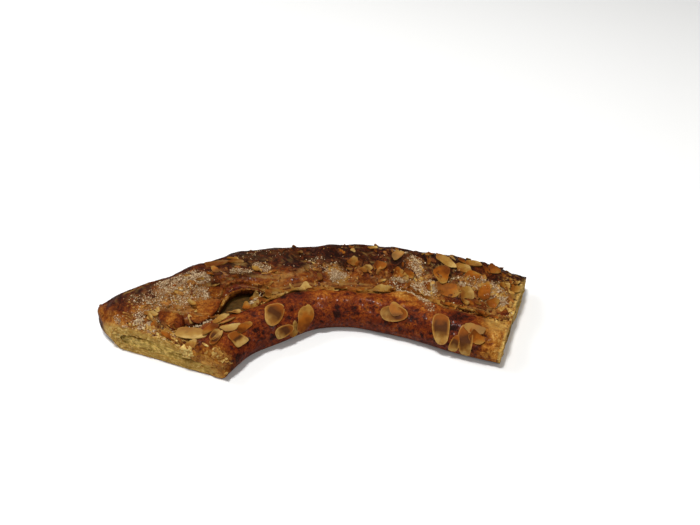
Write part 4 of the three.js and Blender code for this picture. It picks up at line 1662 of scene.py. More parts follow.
    def small_bits(self) -> list[Flake]:
        """Return the slivers and broken bits that lie between the flakes."""
        draws = Draws(self.seed + 11)
        bits: list[Flake] = []
        zones = (
            (0.3, 0.34, 0.97, 0.965, 1.0, 35.0, 0.0),
            (0.38, 0.15, 0.97, 0.0, 0.025, 60.0, 0.0),
            (0.5, 0.23, 0.36, 0.0, 0.0, 60.0, 15.0),
            (0.76, 0.6, 0.98, 0.75, 0.92, 90.0, 0.0),
            (0.86, 0.03, 0.6, 0.79, 0.92, 90.0, 0.0),
            (1.0, 0.1, 0.95, 0.63, 0.7, 90.0, 0.0),
        )
        while len(bits) < self.slivers:
            pick = draws.next()
            zone = next(each for each in zones if pick <= each[0])
            s = draws.between(zone[1], zone[2])
            u = draws.between(zone[3], zone[4])
            length = draws.between(3.5, 9.0)
            width = length * draws.between(0.25, 0.6)
            turn = draws.between(-zone[5], zone[5])
            off = zone[6] * draws.next()
            tilt = draws.between(-22.0, 22.0)
            kind = PALE if draws.next() < 0.5 else TOASTED
            square = draws.between(2.2, 4.5)
            chip = draws.next() * 0.4
            shade = draws.between(-0.3, 0.9)
            if 0.6 < u < 0.8:
                tilt = 0.15 * tilt
            if 0.6 < u < 0.72:
                shade = abs(shade) + 0.4
            # Slivers that lie in the seam or on the near lip are made darker, partly their toast and partly
            # painted shade of the furrow.
            if zone[3] > 0.93 or zone[3] == 0.0:
                shade = shade + 0.25
            bits.append(Flake(s, u, turn, length, width, tilt, kind, square, chip, 0.75, shade, off=off))
        return bits

    def unit_slice(self) -> Template:
        """Model one round slice with a rim, a raised middle and thickness.

        Returns:
            The slice, of radius 1 and between -0.5 and 0.5 high.
        """
        select_none()
        bpy.ops.mesh.primitive_circle_add(vertices=22, radius=1.0, fill_type="NGON")
        piece = bpy.context.active_object
        bpy.ops.object.mode_set(mode="EDIT")
        bpy.ops.mesh.select_mode(type="FACE")
        bpy.ops.mesh.select_all(action="SELECT")
        for thickness in (0.1, 0.16, 0.24, 0.26):
            bpy.ops.mesh.inset(thickness=thickness)
        bpy.ops.mesh.poke()
        bpy.ops.mesh.select_all(action="SELECT")
        bpy.ops.mesh.extrude_region_move(TRANSFORM_OT_translate={"value": (0.0, 0.0, 1.0)})
        bpy.ops.mesh.select_all(action="SELECT")
        bpy.ops.transform.translate(value=(0.0, 0.0, -0.5))
        bpy.ops.mesh.normals_make_consistent(inside=False)
        bpy.ops.object.mode_set(mode="OBJECT")
        return template_of(piece)

    def shaped(self, unit: Array, flake: Flake, draws: Draws) -> tuple[Array, Array]:
        """Shape the round slice into one flake.

        Args:
            unit: the slice's points.
            flake: the flake to make.
            draws: where its small differences come from.

        Returns:
            Local points in millimetres and the share of the way to the rim.
        """
        angle = np.arctan2(unit[:, 1], unit[:, 0])
        radius = np.hypot(unit[:, 0], unit[:, 1])
        power = flake.square
        round_off = (np.abs(np.cos(angle)) ** power + np.abs(np.sin(angle)) ** power) ** (-1.0 / power)
        phase = draws.between(0.0, FULL_TURN)
        wobble = 1.0 + 0.07 * np.sin(3.0 * angle + phase) + 0.05 * np.sin(5.0 * angle + 2.0 * phase)
        wobble = wobble + 0.025 * np.sin(9.0 * angle + 5.0 * phase)
        if flake.kind is CLEAR:
            wobble = 0.75 + 0.25 * wobble
        reach = radius * round_off * wobble
        ahead, aside = reach * np.cos(angle), reach * np.sin(angle) * (1.0 - flake.taper * np.cos(angle))
        if flake.kind is not CLEAR and flake.square >= 2.5:
            for _ in range(2):
                facing = draws.between(0.0, FULL_TURN)
                over = ahead * math.cos(facing) + aside * math.sin(facing) - draws.between(0.66, 1.0)
                over = 0.85 * np.maximum(over, 0.0)
                ahead, aside = ahead - over * math.cos(facing), aside - over * math.sin(facing)
        x = FLAKE_HALF * flake.length * ahead
        y = FLAKE_HALF * flake.width * aside
        if flake.chip > 0.0:
            slope = math.tan(draws.between(-0.5, 0.5))
            limit = FLAKE_HALF * flake.length * (1.0 - flake.chip) + slope * y
            x = np.minimum(x, limit + 0.1 * (x - limit))
        bow = draws.between(-0.6, 1.4)
        twist = draws.between(-1.1, 1.1)
        along = x / (FLAKE_HALF * flake.length)
        aside = y / (FLAKE_HALF * flake.width)
        z = unit[:, 2] * self.thickness
        z = z + bow * along**2 + 0.5 * bow * aside**2 + twist * along * aside
        z = z + np.where((radius > 0.8) & (unit[:, 2] > 0.0), 0.1, 0.0)
        return np.stack([x, y, z], axis=1), radius

    def build(self, material: Material) -> Piece:
        """Lay every flake on the crust.

        Args:
            material: the almond's finish.

        Returns:
            The finished piece.
        """
        unit = self.unit_slice()
        draws = Draws(self.seed + 21)
        bits = [self.lay(unit, flake, draws) for flake in list(self.chosen) + self.small_bits()]
        piece = CopiedPiece("almond_flakes")
        for bit, points in zip(bits, self.surface.settle(bits)):
            piece.add(points, unit.faces, **bit.values)
        return piece.finish(material, 35.0)

    def lay(self, unit: Template, flake: Flake, draws: Draws) -> LooseBit:
        """Shape one flake and hold it over its place.

        Args:
            unit: the round slice.
            flake: the flake to make.
            draws: where its small differences come from.

        Returns:
            The flake, ready to be laid down.
        """
        local, radius = self.shaped(unit.points, flake, draws)
        middle, along_run, around_run, outward = self.surface.form.skin_frame(flake.s, flake.u)
        along = along_run / np.linalg.norm(along_run)
        side = np.cross(outward, along)
        on_top = flake.u > 0.935 or flake.u < 0.045
        if on_top:
            middle, along, side, outward = self.surface.level_frame(flake.s, flake.u, flake.off)
        turn = math.radians(flake.turn)
        slant = math.tan(math.radians(flake.tilt))
        x, y = turned(local[:, 0], local[:, 1], turn)
        lift = self.lift + flake.above + draws.between(0.0, 0.3)
        toast = {TOASTED: 0.95, PALE: 0.1, CLEAR: 0.5}[flake.kind]
        lean = math.radians(flake.lean + draws.between(-1.0, 1.0) * (8.0 if flake.kind is CLEAR else 40.0))
        ahead = flake.flip * local[:, 0] / (FLAKE_HALF * flake.length)
        aside = local[:, 1] / (FLAKE_HALF * flake.width)
        return LooseBit(
            flat=middle + along * x[:, None] + side * y[:, None],
            s=flake.s + x / np.linalg.norm(along_run),
            u=flake.u - y / np.linalg.norm(around_run),
            outward=outward,
            rise=local[:, 2] + lift + slant * local[:, 1] + 0.25 * abs(slant) * flake.width,
            sag=flake.sag,
            values={
                "toast": toast,
                "clear": 1.0 if flake.kind is CLEAR else 0.0,
                "rim": radius,
                "shade": flake.shade + draws.between(-0.1, 0.1),
                "length": ahead * math.cos(lean) + aside * math.sin(lean),
            },
            on_top=on_top,
        )


@dataclass
class SugarGrains:
    """Coarse and fine sugar on the crust, and white clumps along the seam."""

    form: FoldForm
    zones: CrustZones
    top: TopSurface
    grains: int = 14600
    loose: int = 260
    seed: int = 4409
    clusters: tuple[tuple[float, float, float, int], ...] = (
        (-51.2, 15.2, 1.8, 40), (-49.4, 16.2, 2.3, 54), (-47.6, 17.0, 2.5, 54), (-45.8, 17.6, 2.3, 54),
        (-44.0, 18.2, 1.8, 40), (-48.5, 14.2, 1.6, 30), (-132.6, -10.0, 2.6, 54), (-129.5, -9.0, 1.6, 30),
        (56.5, 9.5, 4.6, 34), (61.5, 5.5, 5.0, 34), (65.0, -1.0, 4.4, 36), (68.0, -6.0, 3.6, 24),
        (71.5, -12.0, 4.4, 7), (-88.0, -15.5, 3.6, 24), (-82.5, -14.5, 3.8, 26), (-93.0, -15.0, 2.6, 10),
    )
    fine: int = 26000

    def unit_grain(self) -> Template:
        """Model one grain: a small block with a smaller, crooked top."""
        select_none()
        bpy.ops.mesh.primitive_cube_add(size=1.0)
        piece = bpy.context.active_object
        for face in piece.data.polygons:
            face.select = face.normal.z > 0.5
        bpy.ops.object.mode_set(mode="EDIT")
        bpy.ops.transform.resize(value=(0.62, 0.7, 1.0))
        bpy.ops.transform.translate(value=(0.08, -0.05, 0.0))
        bpy.ops.mesh.select_all(action="SELECT")
        bpy.ops.mesh.quads_convert_to_tris()
        bpy.ops.object.mode_set(mode="OBJECT")
        return template_of(piece)

    def build(self, material: Material) -> Piece:
        """Strew the sugar.

        Args:
            material: the sugar's finish.

        Returns:
            The finished piece.
        """
        draws = Draws(self.seed)
        points, sugar, thick, u = self.strewn(draws, 110000, 4.6, 2.4)
        chosen = np.flatnonzero(thick)[: self.grains]
        spare = np.flatnonzero(~thick & (u > 0.81))[: self.loose]
        unit = self.unit_grain()
        piece = CopiedPiece("coarse_sugar")
        for index in np.concatenate([chosen, spare]):
            size = draws.between(0.4, 1.1) ** 1.5
            tint = draws.next() ** 0.7
            place = points[index] + np.array([0.0, 0.0, 0.25 * size + 0.5 * sugar[index] * draws.next()])
            self.add_grain(piece, unit, place, size, tint, draws)
        for x, y, reach, count in self.clusters:
            for _ in range(count):
                away = reach * draws.next() ** 0.6
                angle = draws.between(0.0, FULL_TURN)
                middle = np.array([x + away * math.cos(angle), y + away * math.sin(angle), 0.0])
                rise = min(reach - away, 1.2) * draws.next()
                middle[2] = self.top.height(middle[:1], middle[1:2])[0] + 0.2 + rise * (count > 38)
                self.add_grain(piece, unit, middle, draws.between(0.4, 0.95), 0.6 * draws.next(), draws)
        return piece.finish(material, 30.0)

    def build_fine(self, material: Material) -> Piece:
        """Strew the sugar's fine grains, which fill the ground between the coarse ones.

        Args:
            material: the sugar's finish.

        Returns:
            The finished piece.
        """
        draws = Draws(self.seed + 5)
        points, _, thick, _ = self.strewn(draws, 130000, 7.0, 2.0)
        unit = self.unit_splinter()
        piece = CopiedPiece("fine_sugar")
        for index in np.flatnonzero(thick)[: self.fine]:
            size = draws.between(0.35, 0.75)
            place = points[index] + np.array([0.0, 0.0, 0.15 * size])
            self.add_grain(piece, unit, place, size, 0.25 + 0.75 * draws.next(), draws)
        return piece.finish(material, 30.0)

    def strewn(self, draws: Draws, tries: int, clump_size: float, thickness: float) -> tuple[Array, ...]:
        """Try places on the crust and tell where the sugar lies.

        Args:
            draws: where the places come from.
            tries: how many places.
            clump_size: size of its clumps in millimetres.
            thickness: how thickly it lies.

        Returns:
            The places, the share of sugar, whether a grain lies there, and u.
        """
        s = draws.many(tries)
        u = draws.many(tries)
        u = np.where(u < 0.2, u * 0.55, 0.72 + (u - 0.2) / 0.8 * 0.28)
        chance = draws.many(tries)
        points = self.form.place(s, u, np.zeros(tries), self.zones.height(s, u))
        smooth = self.form.place(s, u, np.zeros(tries), np.zeros(tries))
        sugar = self.zones.sugar(s, u, smooth)
        clump = 0.55 + 1.1 * lattice_noise(points, clump_size, 311)
        return points, sugar, chance < thickness * sugar * sugar * np.clip(clump, 0.05, 1.0), u

    def unit_splinter(self) -> Template:
        """Model one fine grain: a crooked splinter."""
        select_none()
        bpy.ops.mesh.primitive_cone_add(vertices=4, radius1=0.6, depth=1.0)
        piece = bpy.context.active_object
        for corner in piece.data.vertices:
            corner.select = corner.co.z > 0.4
        bpy.ops.object.mode_set(mode="EDIT")
        bpy.ops.mesh.select_mode(type="VERT")
        bpy.ops.transform.translate(value=(0.25, 0.15, 0.0))
        bpy.ops.mesh.select_all(action="SELECT")
        bpy.ops.mesh.quads_convert_to_tris()
        bpy.ops.object.mode_set(mode="OBJECT")
        return template_of(piece)

    def add_grain(
        self, piece: CopiedPiece, unit: Template, place: Array, size: float, tint: float, draws: Draws
    ) -> None:
        """Add one grain of its own proportions and turn to the piece."""
        stretch = np.array([draws.between(0.7, 1.3), draws.between(0.7, 1.2), draws.between(0.6, 1.0)])
        grain = (unit.points * stretch * size) @ self.random_turn(draws)
        piece.add(grain + place, unit.faces, tint=np.full(len(grain), tint))

    def random_turn(self, draws: Draws) -> Array:
        """Return a random turn as a matrix of rows."""
        first = np.array([draws.between(-1, 1), draws.between(-1, 1), draws.between(-1, 1)]) + 1e-3
        first = first / np.linalg.norm(first)
        other = np.array([draws.between(-1, 1), draws.between(-1, 1), 0.3])
        second = np.cross(first, other)
        second = second / np.linalg.norm(second)
        return np.stack([first, second, np.cross(first, second)])


@dataclass
class CrustShards:
    """Thin bits of baked layer that curl up along the tears, the seam and the cut ends."""

    surface: SkinSurface
    count: int = 430
    seed: int = 9127
    thickness: float = 0.45

    def spot(self, draws: Draws) -> tuple[float, float, float]:
        """Return one place and tilt."""
        pick = draws.next()
        s = draws.between(0.03, 0.985)
        if pick < 0.25:
            u = float(self.surface.form.torn_line(np.array([s]))[0]) + draws.between(-0.012, 0.014)
            return s, u, draws.between(3.0, 26.0)
        if pick < 0.72:
            return s, draws.between(0.76, 0.955), draws.between(-16.0, 16.0)
        if pick < 0.78:
            return s, draws.between(0.955, 0.985), draws.between(-12.0, 12.0)
        if pick < 0.88:
            return draws.between(0.004, 0.09), draws.between(0.8, 0.98), draws.between(-24.0, 24.0)
        if pick < 0.93:
            return draws.between(0.004, 0.05), draws.between(0.03, 0.2), draws.between(-14.0, 14.0)
        return draws.between(0.93, 0.993), draws.between(0.76, 0.98), draws.between(-16.0, 16.0)

    def build(self, material: Material) -> Piece:
        """Lay the shards.

        Args:
            material: the shards' finish.

        Returns:
            The finished piece.
        """
        draws = Draws(self.seed)
        unit = template_of(thick_sheet(6, 4, 2.0, 1.0))
        zones = self.surface.zones
        bits: list[LooseBit] = []
        while len(bits) < self.count:
            s, u, tilt = self.spot(draws)
            bare = float(zones.calm(np.array([s]), np.array([u]))[0])
            if draws.next() < 1.2 * bare:
                continue
            bits.append(self.lay(unit, s, u, tilt, draws))
        places = np.array([bit.flat.mean(axis=0) for bit in bits])
        stations = np.array([bit.s.mean() for bit in bits])
        rounds = np.array([bit.u.mean() for bit in bits])
        tones = zones.tone(stations, rounds, places)
        piece = CopiedPiece("crust_shards")
        for bit, points, tone in zip(bits, self.surface.settle(bits), tones):
            shade = np.clip(tone + bit.values["drift"], 0.05, 1.0)
            piece.add(points, unit.faces, tone=shade)
        return piece.finish(material, 50.0)

    def lay(self, unit: Template, s: float, u: float, tilt: float, draws: Draws) -> LooseBit:
        """Shape one shard and hold it over its place.

        Args:
            unit: the flat shard.
            s: station.
            u: place round the section.
            tilt: tilt in degrees.
            draws: where its proportions come from.

        Returns:
            The shard, ready to be laid down.
        """
        length = draws.between(2.0, 8.0)
        width = length * draws.between(0.25, 0.75)
        corner = math.radians(draws.between(0.0, 360.0))
        x = unit.points[:, 0]
        y = unit.points[:, 1]
        trim = 1.0 - 0.35 * np.abs(np.sin(1.7 * x + corner)) - 0.25 * np.abs(np.cos(2.3 * y + corner))
        across = y * width * 0.5 * trim
        ahead = x * length * 0.5 * (1.0 - 0.3 * np.abs(y) * np.abs(np.cos(corner)))
        turn = math.radians(draws.between(-90.0, 90.0))
        curl = draws.between(0.0, 0.28)
        skin_x, skin_y = turned(ahead, across, turn)
        middle, along_run, around_run, outward = self.surface.form.skin_frame(s, u)
        along = along_run / np.linalg.norm(along_run)
        side = np.cross(outward, along)
        rise = math.tan(math.radians(abs(tilt))) * np.maximum(across + width * 0.35, 0.0)
        return LooseBit(
            flat=middle + along * skin_x[:, None] + side * skin_y[:, None],
            s=s + skin_x / np.linalg.norm(along_run),
            u=u - skin_y / np.linalg.norm(around_run),
            outward=outward,
            rise=unit.points[:, 2] * self.thickness + rise * (1.0 - curl * x * x) + 0.05,
            sag=1.0,
            values={"drift": draws.between(-0.28, 0.2) + 0.1 * x},
        )


@dataclass
class CrumbBank:
    """The bank of crumbs that slopes from the front roll into the opening."""

    form: FoldForm
    start: float = 0.19
    end: float = 0.37
    reaches: tuple[float, ...] = (0.3, 1.0, 3.5, 9.5, 17.0, 18.5, 9.0)
    thickness: float = 3.0

    def surface(self, along: Array, across: Array) -> Array:
        """Return the points of the bank's upper side for two shares between 0 and 1."""
        s = self.start + (self.end - self.start) * along
        shape = self.form.section(s)
        reach = spline(np.array(self.reaches), along)
        lip = shape["pairs"][:, 0, 1]
        q = shape["seam"] - 3.0 + (reach + 3.0) * across
        flat = shape["near_edge"] + shape["across"] * q[:, None]
        points = np.column_stack([flat, lip - 1.0 - 1.3 * across])
        lumps = 1.1 * layered_noise(points, 6.0, 601) + 0.5 * np.abs(lattice_noise(points, 2.4, 602))
        points[:, 2] += lumps * ramp(across, 0.02, 0.2) - 1.6 * ramp(across, 0.82, 1.0)
        return points

    def build(self, material: Material) -> Piece:
        """Make the bank.

        Args:
            material: its finish.

        Returns:
            The finished piece.
        """
        unit = template_of(thick_sheet(90, 26, 2.0, 1.0))
        points = self.surface((unit.points[:, 0] + 1.0) / 2.0, (unit.points[:, 1] + 1.0) / 2.0)
        points[:, 2] -= self.thickness * (1.0 - unit.points[:, 2])
        tone = 0.62 + 0.3 * layered_noise(points, 4.0, 603)
        piece = CopiedPiece("crumb_bank")
        piece.add(points, unit.faces, tone=np.clip(tone, 0.0, 1.0))
        return piece.finish(material, 60.0)

    def sample(self) -> Array:
        """Return points of the upper side about half a millimetre apart."""
        steps = np.meshgrid(np.linspace(0.0, 1.0, 130), np.linspace(0.0, 1.0, 44), indexing="ij")
        return self.surface(steps[0].ravel(), steps[1].ravel())


@dataclass(frozen=True)
class CrumbField:
    """An area strewn with crumbs: its ranges, how many there are, their sizes and shades."""

    s: tuple[float, float]
    u: tuple[float, float]
    count: int
    size: tuple[float, float]
    tone: tuple[float, float]
    w: tuple[float, float] = (0.0, 0.0)
    on_top: bool = False
    off: tuple[float, float] = (0.0, 0.0)


@dataclass
class PastryCrumbs:
    """Crumbs and soft broken lumps on the cut ends, along the seam and on the crust."""

    surface: SkinSurface
    seed: int = 7703
    fields: tuple[CrumbField, ...] = (
        CrumbField((0.0, 0.0), (0.36, 0.99), 330, (0.7, 2.2), (0.0, 0.25), (0.03, 1.0)),
        CrumbField((0.0, 0.006), (0.03, 0.35), 50, (0.8, 3.2), (0.2, 0.6), (0.0, 1.0)),
        CrumbField((0.0, 0.0), (0.0, 0.04), 30, (1.6, 3.8), (0.0, 0.12), (0.2, 1.0)),
        CrumbField((0.0, 0.004), (0.93, 1.0), 70, (1.6, 4.4), (0.0, 0.14), (0.0, 1.0)),
        CrumbField((0.0, 0.05), (0.8, 0.995), 190, (0.7, 2.4), (0.05, 0.5)),
        CrumbField((0.0, 0.02), (0.965, 1.0), 44, (1.6, 3.6), (0.0, 0.1), on_top=True, off=(-3.0, 2.0)),
        CrumbField((0.04, 0.27), (0.81, 0.905), 240, (0.6, 1.6), (0.15, 0.7)),
        CrumbField((0.22, 0.3), (0.0, 0.0), 60, (0.6, 1.8), (0.2, 0.9), on_top=True, off=(-1.0, 7.0)),
        CrumbField((0.28, 0.35), (0.0, 0.0), 170, (0.7, 2.2), (0.1, 0.8), on_top=True, off=(0.0, 17.0)),
        CrumbField((0.8, 0.985), (1.0, 1.0), 60, (0.6, 2.2), (0.2, 0.9), on_top=True, off=(-4.0, 7.0)),
        CrumbField((0.987, 0.996), (0.0, 1.0), 30, (0.7, 2.0), (0.1, 0.5), (0.0, 0.1)),
        CrumbField((0.965, 1.0), (0.76, 0.99), 90, (0.6, 1.8), (0.05, 0.5)),
        CrumbField((0.965, 1.0), (0.0, 0.22), 50, (0.5, 1.4), (0.15, 0.5)),
        CrumbField((0.003, 0.08), (0.7, 0.86), 90, (0.6, 1.9), (0.15, 0.75)),
        CrumbField((0.26, 0.97), (0.77, 0.95), 250, (0.5, 1.4), (0.2, 0.9)),
        # The crumbs in the seam's furrow are dark, partly as baked bits and partly as painted shade between
        # the flakes.
        CrumbField((0.36, 0.97), (0.965, 1.0), 150, (0.6, 1.7), (0.3, 1.0), on_top=True, off=(-1.5, 1.5)),
    )

    def unit_crumb(self, salt: int) -> Template:
        """Model one crumb: a ball pushed in and out until it is a broken lump."""
        select_none()
        bpy.ops.mesh.primitive_ico_sphere_add(subdivisions=2, radius=0.5)
        shape = template_of(bpy.context.active_object)
        push = 1.0 + 0.75 * layered_noise(shape.points * 10.0, 4.5, salt)
        shape.points = shape.points * push[:, None]
        return shape

    def build(self, material: Material) -> Piece:
        """Strew the crumbs.

        Args:
            material: the crumbs' finish.

        Returns:
            The finished piece.
        """
        draws = Draws(self.seed)
        units = [self.unit_crumb(salt) for salt in (501, 502, 503, 504, 505)]
        piece = CopiedPiece("pastry_crumbs")
        for area in self.fields:
            s = area.s[0] + (area.s[1] - area.s[0]) * draws.many(area.count)
            u = area.u[0] + (area.u[1] - area.u[0]) * draws.many(area.count)
            w = area.w[0] + (area.w[1] - area.w[0]) * draws.many(area.count)
            off = area.off[0] + (area.off[1] - area.off[0]) * draws.many(area.count)
            form = self.surface.form
            spots = form.place(s, u, w, self.surface.zones.height(s, u))
            spots[:, :2] += form.section(s)["across"] * off[:, None]
            if area.on_top:
                spots[:, 2] = self.surface.top.height(spots[:, 0], spots[:, 1])
            bare = self.surface.zones.calm(s, u) * (w == 0.0) * (not area.on_top)
            spots = spots[draws.many(area.count) > 1.1 * bare]
            for spot in spots:
                size = area.size[0] + (area.size[1] - area.size[0]) * draws.next() ** 1.6
                unit = units[int(draws.next() * 4.999)]
                stretch_ranges = ((0.8, 1.4), (0.7, 1.1), (0.55, 0.9))
                stretch = np.array([draws.between(low, high) for low, high in stretch_ranges])
                turn = draws.between(0.0, FULL_TURN)
                shape = unit.points * stretch * size
                x, y = turned(shape[:, 0], shape[:, 1], turn)
                crumb = np.stack([x, y, shape[:, 2]], axis=1) + spot
                crumb[:, 2] = np.maximum(crumb[:, 2] + 0.12 * size, 0.3)
                tone = draws.between(*area.tone)
                piece.add(crumb, unit.faces, tone=np.full(len(crumb), tone))
        return piece.finish(material, 50.0)


@dataclass
class FillingStrip:
    """The almond filling that runs through the fold."""

    form: FoldForm
    stations: int = 220
    sides: int = 64

    def outline(self, s: Array) -> Array:
        """Return the filling's section at each station, as the solid has it.

        Args:
            s: stations.

        Returns:
            Distance from the near edge and height, sixteen points a station.
        """
        shape = self.form.section(s)
        width, seam, far, under = shape["width"], shape["seam"], shape["far"], shape["under"]
        opening = shape["opening"]
        gap = self.form.filling_clearance
        floor = self.form.base_thickness + gap
        top = np.minimum(self.form.filling_top, 14.0 + shape["lift"] - gap)
        nought = np.zeros_like(width)
        rows = [
            (nought + 17, nought + floor + 0.4),
            (0.35 * width, nought + floor + 0.1),
            (0.65 * width, nought + floor + 0.1),
            (width - 20, nought + floor + 0.4),
            (width - 13.2, nought + 8.6),
            (width - 11.5, nought + 9.6),
            (width - 14, nought + 10.8),
            (width - 19, top - 0.5),
            (width - 27, top),
            (0.6 * width + 8 * opening, top - 0.1),
            (far + 14 - 6 * opening, (top + under) / 2 - gap),
            (far + 4, under - 0.2 - gap + 0.8 * opening),
            (seam - 4, under - 0.2 - gap),
            (nought + 15, nought + 10.4),
            (nought + 11.5, nought + 9.6),
            (nought + 12, nought + 8.3),
        ]
        table = np.stack([np.stack(row, axis=1) for row in rows], axis=1)
        for place in range(8, 12):
            table[:, place, 1] += 0.5 * np.sin(self.form.strip_length * s / 5.2 + place) - 0.5
        return table

    def outward(self, table: Array) -> Array:
        """Return the direction away from the section's middle at each of its points."""
        away = table - table.mean(axis=1)[:, None, :]
        away = away / np.array([12.0, 3.0])
        away[:, :, 0] = np.clip(away[:, :, 0], -1.0, 1.0)
        away[:, 8:12, 1] = np.clip(away[:, 8:12, 1], -1.0, 0.2)
        away[:, :, 1] = np.clip(away[:, :, 1], -1.0, 1.0)
        return away

    def bar(self) -> Piece:
        """Model the straight bar that becomes the strip.

        Returns:
            The bar, of radius 1 and length 1, cut into stations.
        """
        select_none()
        bpy.ops.mesh.primitive_cylinder_add(
            vertices=self.sides, radius=1.0, depth=1.0, end_fill_type="TRIFAN"
        )
        piece = bpy.context.active_object
        name_piece(piece, "filling_strip")
        bpy.ops.object.mode_set(mode="EDIT")
        bpy.ops.mesh.select_mode(type="EDGE")
        bpy.ops.mesh.select_all(action="DESELECT")
        bpy.ops.object.mode_set(mode="OBJECT")
        places = read_points(piece.data)
        for edge in piece.data.edges:
            first, second = edge.vertices
            edge.select = abs(places[first, 2] - places[second, 2]) > 0.5
        bpy.ops.object.mode_set(mode="EDIT")
        bpy.ops.mesh.subdivide_edgering(number_cuts=self.stations)
        bpy.ops.mesh.select_all(action="DESELECT")
        bpy.ops.object.mode_set(mode="OBJECT")
        return piece

    def build(self, material: Material) -> Piece:
        """Model the strip from a bar and draw it along the fold.

        Args:
            material: the filling's finish.

        Returns:
            The finished piece.
        """
        piece = self.bar()
        places = read_points(piece.data)
        s = np.clip(places[:, 2] + 0.5, 0.0, 1.0)
        turn = np.mod(np.arctan2(places[:, 1], places[:, 0]), 2.0 * np.pi) / (2.0 * np.pi)
        reach = np.hypot(places[:, 0], places[:, 1])
        table = self.outline(s)
        end = 1.0 - ramp(s, 0.008, 0.05)
        table = table + self.outward(table) * (1.3 * end)[:, None, None]
        for place, rise in ((7, 2.0), (8, 2.4), (9, 4.4), (10, 4.4), (11, 3.2), (12, 1.2)):
            table[:, place, 1] += rise * end
        spot = turn * 16.0
        first = np.floor(spot).astype(int) % 16
        share = spot - np.floor(spot)
        rows = np.arange(len(s))
        start = table[rows, first]
        end = table[rows, (first + 1) % 16]
        rim = start + (end - start) * share[:, None]
        middle = table.mean(axis=1)
        flat = middle + (rim - middle) * reach[:, None]
        shape = self.form.section(s)
        in_roll = (1.0 - ramp(flat[:, 0] - shape["seam"], -3.0, 2.0)) * (1.0 - ramp(s, 0.0, 0.08))
        shape = self.form.section(s + 0.022 * in_roll)
        ground = shape["near_edge"] + shape["across"] * flat[:, :1]
        points = np.column_stack([ground, flat[:, 1]])
        facing_up = ramp(flat[:, 1] - middle[:, 1], 0.4, 1.2)
        points[:, 2] += facing_up * (0.14 * layered_noise(points, 5.0, 401) - 0.05)
        inner = np.where((s < 0.0005) | (s > 0.9995), 0.0, 1.0)
        dent = (1.0 - inner) * 1.7 * layered_noise(points, 4.2, 402) * np.where(s < 0.5, 1.0, -1.0)
        ahead, behind = [self.form.section(np.clip(s + step, 0, 1)) for step in (0.01, -0.01)]
        run = ahead["near_edge"] - behind["near_edge"]
        run = run / np.linalg.norm(run, axis=1)[:, None]
        points[:, :2] += run * dent[:, None]
        write_points(piece.data, points * MM)
        # The filling darkens away from its cut ends, partly its baked colour and partly painted shade of
        # the opening.
        bake_and_shade = ramp(s, 0.02, 0.1) * (1.0 - 0.6 * ramp(s, 0.93, 0.99))
        write_value(piece.data, "bake_and_shade", np.clip(bake_and_shade, 0.0, 1.0))
        piece.data.materials.append(material)
        face_outward(piece)
        smooth_piece(piece, 45.0)
        return piece


# Light, floor and camera


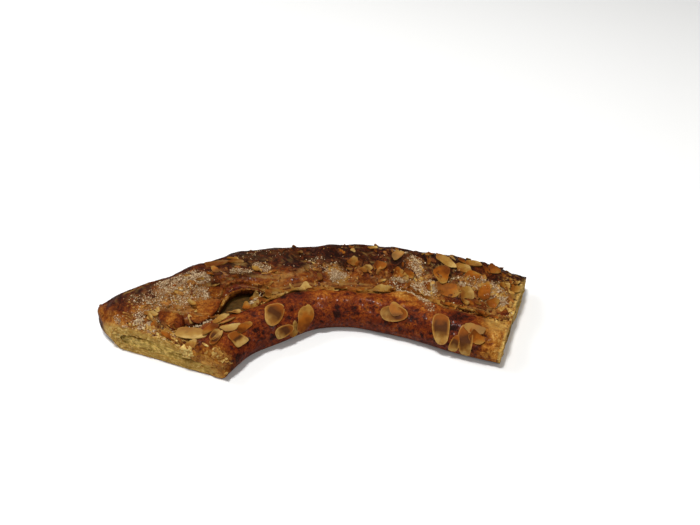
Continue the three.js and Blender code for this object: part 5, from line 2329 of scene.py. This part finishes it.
@dataclass
class Studio:
    """A plain pale floor, soft light and the camera at the photograph's angle."""

    camera_place: tuple[float, float, float] = (-50.9, -450.3, 382.1)
    camera_target: tuple[float, float, float] = (33.2, 68.8, 0.0)
    lens: float = 40.1
    floor_size: float = 6.0

    def floor(self) -> Piece:
        """Make the floor."""
        select_none()
        bpy.ops.mesh.primitive_plane_add(size=self.floor_size, location=(0.0, 0.0, -0.0002))
        floor = bpy.context.active_object
        floor.name = "floor"
        material, _, shader = new_material("pale_floor")
        hold(shader, {"Base Color": (0.86, 0.86, 0.85, 1.0), "Roughness": 0.9})
        floor.data.materials.append(material)
        return floor

    def lamp(self, name: str, place: tuple[float, float, float], size: float, power: float) -> None:
        """Hang one soft lamp that looks at the strip."""
        data = bpy.data.lights.new(name, "AREA")
        data.shape = "DISK"
        data.size = size
        data.energy = power
        lamp = bpy.data.objects.new(name, data)
        bpy.context.scene.collection.objects.link(lamp)
        lamp.location = place
        lamp.rotation_euler = (-Vector(place)).to_track_quat("-Z", "Y").to_euler()

    def build(self) -> None:
        """Set up the floor, the lights, the surroundings and the camera."""
        self.floor()
        self.lamp("ceiling_light", (-0.25, -0.1, 1.7), 0.35, 24.0)
        self.lamp("window_light", (-1.1, 1.0, 1.3), 1.0, 17.0)
        self.lamp("front_fill", (0.6, -1.6, 1.1), 1.4, 11.0)
        world = bpy.data.worlds.new("surroundings")
        world.use_nodes = True
        background = world.node_tree.nodes["Background"]
        hold(background, {"Color": (1.0, 0.99, 0.97, 1.0), "Strength": 0.22})
        bpy.context.scene.world = world
        bpy.context.scene.view_settings.view_transform = "Standard"
        data = bpy.data.cameras.new("camera")
        data.lens = self.lens
        data.sensor_width = 36.0
        data.sensor_fit = "HORIZONTAL"
        data.clip_start = 0.01
        camera = bpy.data.objects.new("camera", data)
        bpy.context.scene.collection.objects.link(camera)
        place = Vector(self.camera_place) * MM
        target = Vector(self.camera_target) * MM
        camera.location = place
        camera.rotation_euler = (target - place).to_track_quat("-Z", "Y").to_euler()
        bpy.context.scene.camera = camera


def report(piece: Piece) -> None:
    """Write one line on a finished piece to the log."""
    LOG.info("%s: %d points, %d faces", piece.name, len(piece.data.vertices), len(piece.data.polygons))


def main() -> None:
    logging.basicConfig(level=logging.INFO, format="%(name)s %(message)s")
    Studio().build()
    form = FoldForm()
    zones = CrustZones(form)
    bank = CrumbBank(form)
    surface = SkinSurface(form, zones, TopSurface(form, zones, bank.sample()))
    bread = BakedShard().build()
    baked = BakedCrust().build()
    crust = DoughFold(form, zones).build(baked)
    tongue = DoughTongue().build(baked)
    ear = DoughTongue(
        name="dough_ear",
        middle_x=(-110.0, -109.5, -109.0, -108.5, -107.5, -106.0),
        middle_y=(5.0, -1.0, -6.0, -11.0, -15.0, -19.0),
        half_width=(8.0, 10.0, 10.4, 9.6, 7.4, 4.0),
        thickness=1.2,
        level=22.3,
        slope=2.0,
        droop=0.8,
        fall=1.6,
        sink=2.8,
        tone=0.64,
        edge_tone=0.2,
        streak=0.3,
        sugared=0.0,
    ).build(baked)
    filling = FillingStrip(form).build(AlmondPaste().build())
    flakes = AlmondFlakes(surface).build(AlmondSlice().build())
    sweet = CoarseSugar().build()
    sugar = SugarGrains(form, zones, surface.top).build(sweet)
    dust = SugarGrains(form, zones, surface.top).build_fine(sweet)
    shards = CrustShards(surface).build(bread)
    crumbs = PastryCrumbs(surface).build(bread)
    heap = bank.build(bread)
    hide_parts("pastry_dough")
    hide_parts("filling")
    for piece in (crust, tongue, ear, filling, flakes, sugar, dust, shards, crumbs, heap):
        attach(piece, "root")
        report(piece)


if __name__ == "__main__":
    main()
